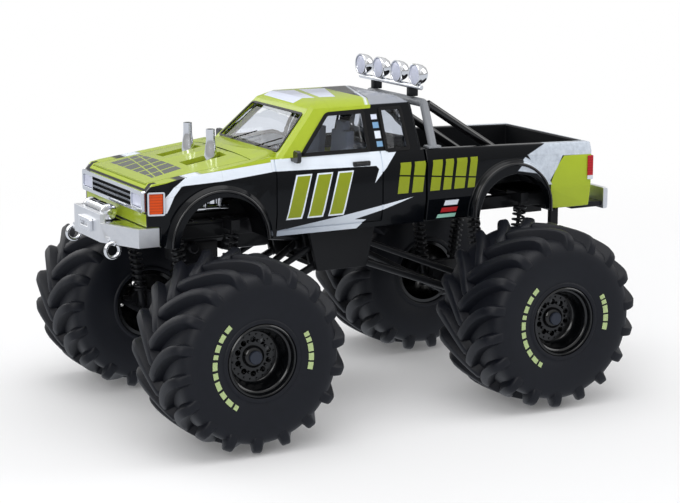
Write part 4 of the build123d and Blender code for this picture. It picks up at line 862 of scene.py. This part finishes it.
def wheelPiece(name, shape, finish, body, y, side, *stoodFor, sharp=sharpAngle):
    # the wheel is drawn on the left, about the X axis, and put on its hub
    bmesh.ops.scale(shape, vec=(side, 1, 1), verts=shape.verts)
    bmesh.ops.translate(shape, vec=(0, y, axleZ), verts=shape.verts)
    finished(name, shape, finish, *stoodFor, body=body, sharp=sharp)


def boltsOn(shape, count, ringRadius, radii, long, soft):
    for step in range(count):
        around = turn * (step + 0.5) / count
        spot = Vector((rimFace["front"] - rimFace["boltSunk"], ringRadius * math.sin(around),
                       ringRadius * math.cos(around)))
        bar(shape, spot, spot + Vector((long, 0, 0)), *radii, 6, soft)


def rimShape():
    shape = bmesh.new()
    face = rimFace
    loops = [(face["outer"], 0, 0, 72), (face["inner"], 0, 0, 36)]
    for step in range(face["holes"]):
        around = turn * step / face["holes"]
        loops.append((face["hole"], face["holeRing"] * math.sin(around),
                      face["holeRing"] * math.cos(around), 16))
    edges = []
    for radius, y, z, sides in loops:
        place = Matrix.Translation((face["front"], y, z)) @ Matrix.Rotation(turn / 4, 4, "Y")
        edges += edgesOf(bmesh.ops.create_circle(shape, segments=sides, radius=radius, matrix=place)["verts"])
    plate = bmesh.ops.triangle_fill(shape, use_beauty=True, use_dissolve=False, edges=edges, normal=(1, 0, 0))
    faces = [item for item in plate["geom"] if isinstance(item, bmesh.types.BMFace)]
    back = bmesh.ops.extrude_face_region(shape, geom=faces, use_keep_orig=True)
    bmesh.ops.translate(shape, vec=(face["back"] - face["front"], 0, 0), verts=vertsIn(back))
    turned(shape, rimBarrel, (0, 0, 0), (1, 0, 0), 72, closed=True)
    turned(shape, rimHub, (0, 0, 0), (1, 0, 0), 36, closed=True)
    boltsOn(shape, 2 * face["holes"], face["boltRing"], face["bolt"], face["boltLong"], 0.05)
    boltsOn(shape, face["holes"], face["nutRing"], face["nut"], face["nutLong"], 0.06)
    return shape


# Tyres: a spun casing, curved lugs in two rows, and plain pale bars on the outer wall
tyre = {"centre": 28.7, "lugs": 18, "width": 2.2, "round": 0.5, "foot": 0.8, "phase": 6.0, "leanRadius": 19.0,
        "endSqueeze": 0.86}
wall = [(10.6, 7.5), (11.15, 7.55), (11.3, 7.85), (11.28, 8.25), (11.1, 8.45), (11.12, 8.7), (11.3, 9.3),
        (11.5, 10.3), (11.62, 11.5), (11.68, 12.7), (11.66, 13.9), (11.52, 15.0), (11.2, 15.9), (10.7, 16.6),
        (9.9, 17.1), (8.2, 17.4), (4.0, 17.5), (0.0, 17.5)]
lugLine = [
    # along the lug: place across the tread, top radius, foot place, foot radius, run round the tyre, lean
    (-0.75, 19.20, -0.5, 17.0, -5.3, 1.0),
    (-0.4, 19.46, -0.4, 17.0, -4.9, 1.0),
    (1.0, 19.5, 1.0, 17.0, -3.35, 0.95),
    (2.6, 19.5, 2.6, 17.0, -1.75, 0.86),
    (4.4, 19.5, 4.4, 17.0, -0.2, 0.72),
    (6.3, 19.48, 6.3, 16.9, 1.15, 0.56),
    (8.0, 19.38, 8.0, 16.7, 2.05, 0.42),
    (9.2, 19.2, 9.0, 16.5, 2.6, 0.32),
    (10.2, 18.85, 9.8, 16.2, 2.95, 0.22),
    (10.95, 18.25, 10.3, 15.9, 3.15, 0.12),
    (11.35, 17.4, 10.6, 15.6, 3.25, 0.05),
    (11.52, 16.4, 10.8, 15.3, 3.3, 0.0),
    (11.5, 15.6, 10.9, 15.0, 3.3, 0.0),
    (11.3, 15.2, 10.9, 14.8, 3.3, 0.0),
]


def lugSection(width, place, top, footPlace, foot, run, lean, squeeze):
    # one closed section of a lug, as points of (across the tread, radius, run round the tyre)
    half = width / 2 * squeeze
    steps = [(-half - tyre["foot"], 0.0), (-half - 0.2, 0.5), (-half, 0.78), (-half + 0.16, 0.93),
             (-half + tyre["round"], 1.0), (0, 1.0), (half - tyre["round"], 1.0), (half - 0.16, 0.93),
             (half, 0.78), (half + 0.2, 0.5), (half + tyre["foot"], 0.0)]
    size = math.hypot(1, lean)
    points = []
    for off, share in steps:
        across = footPlace + (place - footPlace) * share - off * lean / size
        radius = foot + (top - foot) * share
        around = (run + off / size) / tyre["leanRadius"]
        points.append((across, radius * math.sin(around), radius * math.cos(around)))
    return points


def tyreShape():
    shape = bmesh.new()
    profile = wall + [(-x, r) for x, r in reversed(wall[:-1])]
    turned(shape, profile, (0, 0, 0), (1, 0, 0), 108, closed=True)
    before = set(shape.verts)
    rings = []
    for index, station in enumerate(lugLine):
        squeeze = tyre["endSqueeze"] if index in (0, len(lugLine) - 1) else 1.0
        rings.append([shape.verts.new(point) for point in lugSection(tyre["width"], *station, squeeze)])
    for ringA, ringB in zip(rings, rings[1:]):
        for step in range(len(ringA)):
            shape.faces.new((ringA[step], ringA[step - 1], ringB[step - 1], ringB[step]))
    shape.faces.new(rings[0])
    shape.faces.new(reversed(rings[-1]))
    pitch = turn / tyre["lugs"]
    lugVerts = fresh(shape, before)
    lug = lugVerts + edgesOf(lugVerts) + facesOf(lugVerts)
    copied = bmesh.ops.duplicate(shape, geom=lug)
    other = vertsIn(copied)
    bmesh.ops.scale(shape, vec=(-1, 1, 1), verts=other)
    bmesh.ops.rotate(shape, cent=(0, 0, 0), matrix=Matrix.Rotation(pitch / 2, 3, "X"), verts=other)
    bmesh.ops.spin(shape, geom=lug + copied["geom"], cent=(0, 0, 0), axis=(1, 0, 0), angle=turn - pitch,
                   steps=tyre["lugs"] - 1, use_merge=False, use_duplicate=True)
    bmesh.ops.rotate(shape, cent=(0, 0, 0), matrix=Matrix.Rotation(math.radians(tyre["phase"]), 3, "X"),
                     verts=shape.verts)
    bmesh.ops.translate(shape, vec=(tyre["centre"], 0, 0), verts=shape.verts)
    return shape


# The bars' (start, length) round the wheel, in degrees up from the truck's rear
wallBars = {"front": [(132, 8), (143, 9), (155, 8), (166, 5), (174, 9), (186, 7), (196, 10), (209, 8),
                      (220, 9), (232, 5)],
            "rear": [(-15, 8), (-5, 8), (5, 9), (16, 5), (23, 5)],
            "low": 9.95, "high": 11.0, "steps": 4, "proud": 0.1, "sunk": 0.25}


def wallAt(radius):
    for (x, r), (nextX, nextR) in zip(wall, wall[1:]):
        if r <= radius <= nextR:
            return x + (nextX - x) * (radius - r) / (nextR - r)


def barShape():
    shape = bmesh.new()
    steps = wallBars["steps"]
    for start, length in wallBars["front"] + wallBars["rear"]:
        grid = []
        for step in range(steps + 1):
            around = math.radians(start + length * step / steps)
            row = []
            for rise in range(steps + 1):
                radius = wallBars["low"] + (wallBars["high"] - wallBars["low"]) * rise / steps
                row.append(shape.verts.new((tyre["centre"] + wallAt(radius) + wallBars["proud"],
                                            radius * math.cos(around), radius * math.sin(around))))
            grid.append(row)
        faces = [shape.faces.new((grid[a][b], grid[a + 1][b], grid[a + 1][b + 1], grid[a][b + 1]))
                 for a in range(steps) for b in range(steps)]
        sunk = bmesh.ops.extrude_face_region(shape, geom=faces, use_keep_orig=True)
        bmesh.ops.translate(shape, vec=(-wallBars["sunk"], 0, 0), verts=vertsIn(sunk))
    return shape


for end, y in (("front", frontY), ("rear", rearY)):
    for side, sign in (("left", 1), ("right", -1)):
        wheel = f"{end}_{side}"
        body = "wheel_" + wheel
        wheelPiece("rim_dish_" + wheel, rimShape(), "rim", body, y, sign, "rim_" + wheel)
        wheelPiece("tyre_lugs_" + wheel, tyreShape(), "rubber", body, y, sign, "tyre_" + wheel, sharp=40)
        wheelPiece("tyre_bars_" + wheel, barShape(), "paleGreen", body, y, sign)
print("wheels made")

# Under the hood and floor: sump, gearbox and side plates, the tray, and the linings of the front arches
gearbox = {"sump": ((-4.2, -40.6, 32.2), (4.2, -31.6, 37.2), 0.6),
           "case": ((-3.0, -30.6, 34.4), (3.0, -19.0, 41.4), 0.7),
           "tail": ((0, -19.2, 37.2), (0, -10.6, 35.6), 2.0, 1.5),
           "mount": (3.6, 6.2), "mountPlace": (-38.0, 36.0), "mountRadius": 1.1,
           "plateX": 6.1, "plate": ((-0.5, -46.0, 41.6), (0.5, -16.0, 45.6), 0.2)}
shape = bmesh.new()
softBox(shape, *gearbox["sump"])
softBox(shape, *gearbox["case"])
bar(shape, *gearbox["tail"], soft=0.3)
for side in (-1, 1):
    bar(shape, *[(side * x, *gearbox["mountPlace"]) for x in gearbox["mount"]], gearbox["mountRadius"],
        soft=0.2)
    softBox(shape, *gearbox["plate"], move=(side * gearbox["plateX"], 0, 0))
finished("gearbox_casting", shape, "chassis")

tray = {"plate": ((-10.3, -50.6, 41.8), (10.3, -27.2, 42.5), 0.2), "ribs": 5, "pitch": 4.6,
        "rib": ((-9.6, -49.2, 42.5), (9.6, -48.6, 42.8), 0.1)}
shape = bmesh.new()
softBox(shape, *tray["plate"])
for step in range(tray["ribs"]):
    softBox(shape, *tray["rib"], move=(0, step * tray["pitch"], 0))
finished("engine_tray", shape, "chassis")

lining = {"x": 10.6, "width": 6.6, "centre": (-36.9, 38.7), "radius": 10.1, "from": 4, "sweep": 172,
          "steps": 30, "thick": 0.4}
shape = bmesh.new()
angles = [math.radians(lining["from"] + lining["sweep"] * step / lining["steps"])
          for step in range(lining["steps"] + 1)]
arch = [Vector((lining["x"], lining["centre"][0] + lining["radius"] * math.cos(a),
                lining["centre"][1] + lining["radius"] * math.sin(a))) for a in angles]
inner = [shape.verts.new(v) for v in arch]
outer = [shape.verts.new(v + Vector((lining["width"], 0, 0))) for v in arch]
for step in range(lining["steps"]):
    shape.faces.new((inner[step], inner[step + 1], outer[step + 1], outer[step]))
bmesh.ops.solidify(shape, geom=shape.faces[:], thickness=-lining["thick"])
finished("arch_linings", shape, "chassis", mirror=True)

# Plates by the bumpers, and the rims of the marker lamps, which follow the nose's slanted corners
ledge = {"outline": [(5.9, -58.3), (7.2, -58.3), (16.3, -54.3), (16.3, -52.2), (5.9, -53.2)], "height": 43.1,
         "thick": 0.3}
bracket = {"box": ((9.0, 50.2, 38.5), (15.9, 58.4, 39.8), 0.25)}
marker = {"corner": (16.9, -53.0), "wrap": math.atan2(3.2, 12.0), "near": 0.05, "far": 3.6, "low": 46.0,
          "high": 50.8, "out": 0.45, "wide": 0.34, "thick": 0.3, "round": 0.4}
shape = bmesh.new()
plate = shape.faces.new([shape.verts.new((x, y, ledge["height"])) for x, y in ledge["outline"]])
raised = bmesh.ops.extrude_face_region(shape, geom=[plate], use_keep_orig=True)
bmesh.ops.translate(shape, vec=(0, 0, ledge["thick"]), verts=vertsIn(raised))
finished("bumper_ledges", shape, "chrome", mirror=True)
shape = bmesh.new()
softBox(shape, *bracket["box"])
finished("bumper_brackets", shape, "chassis", mirror=True)


sine, cosine = math.sin(marker["wrap"]), math.cos(marker["wrap"])


def markerSpot(along, z):
    across, ahead = marker["corner"]
    return (across + sine * marker[along] + cosine * marker["out"],
            ahead + cosine * marker[along] - sine * marker["out"], marker[z])


shape = bmesh.new()
corners = [("near", "low"), ("far", "low"), ("far", "high"), ("near", "high")]
ring(shape, [markerSpot(*corner) for corner in corners], marker["wide"],
     (marker["thick"] * cosine, -marker["thick"] * sine, 0), marker["round"])
finished("marker_bezels", shape, "chrome", mirror=True)

# Seals round the windows: outlines as (along, height) on the sides and (across, height) on the screen
glasshouse = {"belt": 55.0, "side": 16.9, "sideLean": (16.9 - 13.2) / 9.7, "screen": -24.0,
              "screenLean": 0.99}
sideSeals = {"outlines": (([(-18.9, 55.35), (-11.0, 63.85), (-1.9, 63.85), (-1.9, 55.35)], 0.8),
                          ([(1.55, 55.05), (1.55, 64.15), (7.2, 64.15), (7.7, 55.05)], 0.7)),
             "rise": (0.2, 0, 0.07), "corner": 0.7}
screenSeal = {"outline": [(-14.6, 56.3), (14.6, 56.3), (12.1, 63.75), (-12.1, 63.75)], "wide": 0.5,
              "rise": (0, -0.15, 0.15), "corner": 0.9}


def sideSpot(y, z):
    return (glasshouse["side"] - (z - glasshouse["belt"]) * glasshouse["sideLean"], y, z)


def screenSpot(x, z, out=0.0):
    return (x, glasshouse["screen"] + (z - glasshouse["belt"]) * glasshouse["screenLean"] - out, z)


shape = bmesh.new()
for outline, wide in sideSeals["outlines"]:
    ring(shape, [sideSpot(*point) for point in outline], wide, sideSeals["rise"], sideSeals["corner"])
finished("window_seals", shape, "seal", mirror=True)
shape = bmesh.new()
ring(shape, [screenSpot(*point) for point in screenSeal["outline"]], screenSeal["wide"], screenSeal["rise"],
     screenSeal["corner"])
finished("screen_seal", shape, "seal")

# Wipers as (pivot, tip) on the screen, door handles, and the ribs of the flares
wiper = {"arms": (((-9.5, 55.9), (-1.0, 58.6)), ((3.0, 55.9), (11.2, 58.6))), "pivotOut": 0.35, "tipOut": 0.3,
         "arm": (0.16, 0.12), "blade": 0.12, "bladeBack": 4.2, "bladeAhead": 1.2, "boss": 0.3,
         "bossEnds": ((0, 0.4, -0.3), (0, -0.25, 0.2))}
shape = bmesh.new()
for pivot, tip in wiper["arms"]:
    start, end = Vector(screenSpot(*pivot, wiper["pivotOut"])), Vector(screenSpot(*tip, wiper["tipOut"]))
    bar(shape, start, end, *wiper["arm"], steps=10, soft=0.03)
    along = (end - start).normalized()
    bar(shape, end - along * wiper["bladeBack"], end + along * wiper["bladeAhead"], wiper["blade"], steps=8,
        soft=0.03)
    bar(shape, *[start + Vector(shift) for shift in wiper["bossEnds"]], wiper["boss"], steps=12, soft=0.05)
finished("wipers", shape, "seal")

handle = {"plate": ((17.2, -6.6, 52.5), (17.95, -2.4, 53.6), 0.25),
          "grip": ((17.3, -5.9, 52.7), (18.15, -3.1, 53.3), 0.2)}
shape = bmesh.new()
for part in ("plate", "grip"):
    softBox(shape, *handle[part], segments=3)
finished("door_handles", shape, "glossBlack", mirror=True)

flareRib = {"x": 19.25, "wire": 0.36, "steps": 32,
            "arches": ({"along": -37.7, "height": 39.3, "radius": 10.75, "leg": 0.0},
                       {"along": 32.7, "height": 40.7, "radius": 9.75, "leg": 1.4})}
shape = bmesh.new()
for arch in flareRib["arches"]:
    angles = [turn / 2 * step / flareRib["steps"] for step in range(flareRib["steps"] + 1)]
    path = [Vector((flareRib["x"], arch["along"] + arch["radius"] * math.cos(a),
                    arch["height"] + arch["radius"] * math.sin(a))) for a in angles]
    if arch["leg"]:
        drop = Vector((0, 0, arch["leg"]))
        path = [path[0] - drop] + path + [path[-1] - drop]
    tube(shape, path, (1, 0, 0), flareRib["wire"], 12)
finished("flare_ribs", shape, "glossBlack", mirror=True)
print("trim made")

# The floor glows white for the camera and through glass, less near the truck, and a little grey in gloss
stage = {"floor": 3.0, "colour": (0.86, 0.86, 0.87, 1), "glow": (1, 1, 1, 1),
         "glossyGlow": (0.62, 0.65, 0.70, 1.0),
         "nearShare": 0.12, "nearRadius": 0.07, "farRadius": 0.34, "glossyShare": 0.9}
floorShape = bmesh.new()
bmesh.ops.create_grid(floorShape, x_segments=1, y_segments=1, size=stage["floor"])
floorMesh = bpy.data.meshes.new("floor")
floorShape.to_mesh(floorMesh)
floorShape.free()
floor = bpy.data.objects.new("floor", floorMesh)
bpy.context.scene.collection.objects.link(floor)
floorFinish = Finish("floor_white", {"Base Color": stage["colour"], "Roughness": 0.9,
                                     "Specular IOR Level": 0.1})
rays = floorFinish.node("ShaderNodeLightPath", {}, {})
glossy = rays.of("Is Glossy Ray")
seen = rays.of("Is Camera Ray").most(rays.of("Is Transmission Ray"))
distance = floorFinish.node("ShaderNodeVectorMath", {"operation": "LENGTH"}, [floorFinish.place]).of("Value")
spread = floorFinish.node("ShaderNodeMapRange", {"interpolation_type": "SMOOTHSTEP"},
                          {"Value": distance, "From Min": stage["nearRadius"], "From Max": stage["farRadius"],
                           "To Min": stage["nearShare"], "To Max": 1.0})
glow = floorFinish.node("ShaderNodeEmission", {}, {
    "Color": floorFinish.mix(glossy, stage["glow"], stage["glossyGlow"]), "Strength": 1.0})
floorLook = floorFinish.node("ShaderNodeMixShader", {}, {
    0: (seen * spread).most(glossy * stage["glossyShare"]),
    1: Wire(floorFinish, floorFinish.shader.outputs[0]), 2: glow})
floorFinish.tree.links.new(floorLook.socket, floorFinish.tree.nodes["Material Output"].inputs["Surface"])
floorMesh.materials.append(floorFinish.material)

# The world is white for the camera and through glass, and dimmer as a light and in gloss
sky = {"light": 0.6, "glossyLow": 0.36, "glossyHigh": 0.8, "highAt": 0.7}
world = bpy.data.worlds.new("studio")
bpy.context.scene.world = world
world.use_nodes = True
air = Nodes(world.node_tree)
background = world.node_tree.nodes["Background"]
background.inputs["Color"].default_value = (1, 1, 1, 1)
rays = air.node("ShaderNodeLightPath", {}, {})
heading = air.node("ShaderNodeTexCoord", {}, {}).of("Generated")
rise = air.node("ShaderNodeSeparateXYZ", {}, [heading]).of("Z")
inGloss = air.node("ShaderNodeMapRange", {}, {"Value": rise, "From Max": sky["highAt"],
                                              "To Min": sky["glossyLow"], "To Max": sky["glossyHigh"]})
dimmed = air.node("ShaderNodeMix", {}, {0: rays.of("Is Glossy Ray"), 2: sky["light"], 3: inGloss})
shown = rays.of("Is Camera Ray").most(rays.of("Is Transmission Ray"))
strength = air.node("ShaderNodeMix", {}, {0: shown, 2: dimmed, 3: 1.0})
air.give(background, "Strength", strength)

lamps = {
    "overhead": {"place": (0.05, -0.05, 0.55), "aim": (0, 0, 0.04), "size": 0.5, "power": 1.35},
    "keySide": {"place": (0.5, -0.45, 0.35), "aim": (0, 0, 0.04), "size": 0.35, "power": 1.4},
    "rearFill": {"place": (0.2, 0.6, 0.35), "aim": (0, 0, 0.04), "size": 0.4, "power": 1.0},
    "farFill": {"place": (-0.5, -0.2, 0.3), "aim": (0, 0, 0.04), "size": 0.4, "power": 0.8},
}
for name, lamp in lamps.items():
    light = bpy.data.lights.new(name, "AREA")
    light.size = lamp["size"]
    light.energy = lamp["power"]
    holder = bpy.data.objects.new(name, light)
    holder.location = lamp["place"]
    holder.rotation_mode = "QUATERNION"
    holder.rotation_quaternion = (Vector(lamp["aim"]) - Vector(lamp["place"])).to_track_quat("-Z", "Y")
    bpy.context.scene.collection.objects.link(holder)

view = {"azimuth": 61.969, "elevation": 11.442, "lens": 105.46, "place": (0.38085, -0.20304, 0.11803),
        "sensor": 36, "near": 0.01, "far": 20}
camera = bpy.data.cameras.new("camera")
camera.lens = view["lens"]
camera.sensor_width = view["sensor"]
camera.clip_start = view["near"]
camera.clip_end = view["far"]
eye = bpy.data.objects.new("camera", camera)
azimuth, elevation = math.radians(view["azimuth"]), math.radians(view["elevation"])
back = Vector((math.sin(azimuth) * math.cos(elevation), -math.cos(azimuth) * math.cos(elevation),
               math.sin(elevation)))
eye.location = view["place"]
eye.rotation_mode = "QUATERNION"
eye.rotation_quaternion = (-back).to_track_quat("-Z", "Y")
bpy.context.scene.collection.objects.link(eye)
bpy.context.scene.camera = eye
bpy.context.scene.view_settings.view_transform = "Standard"
print("stage and camera set")
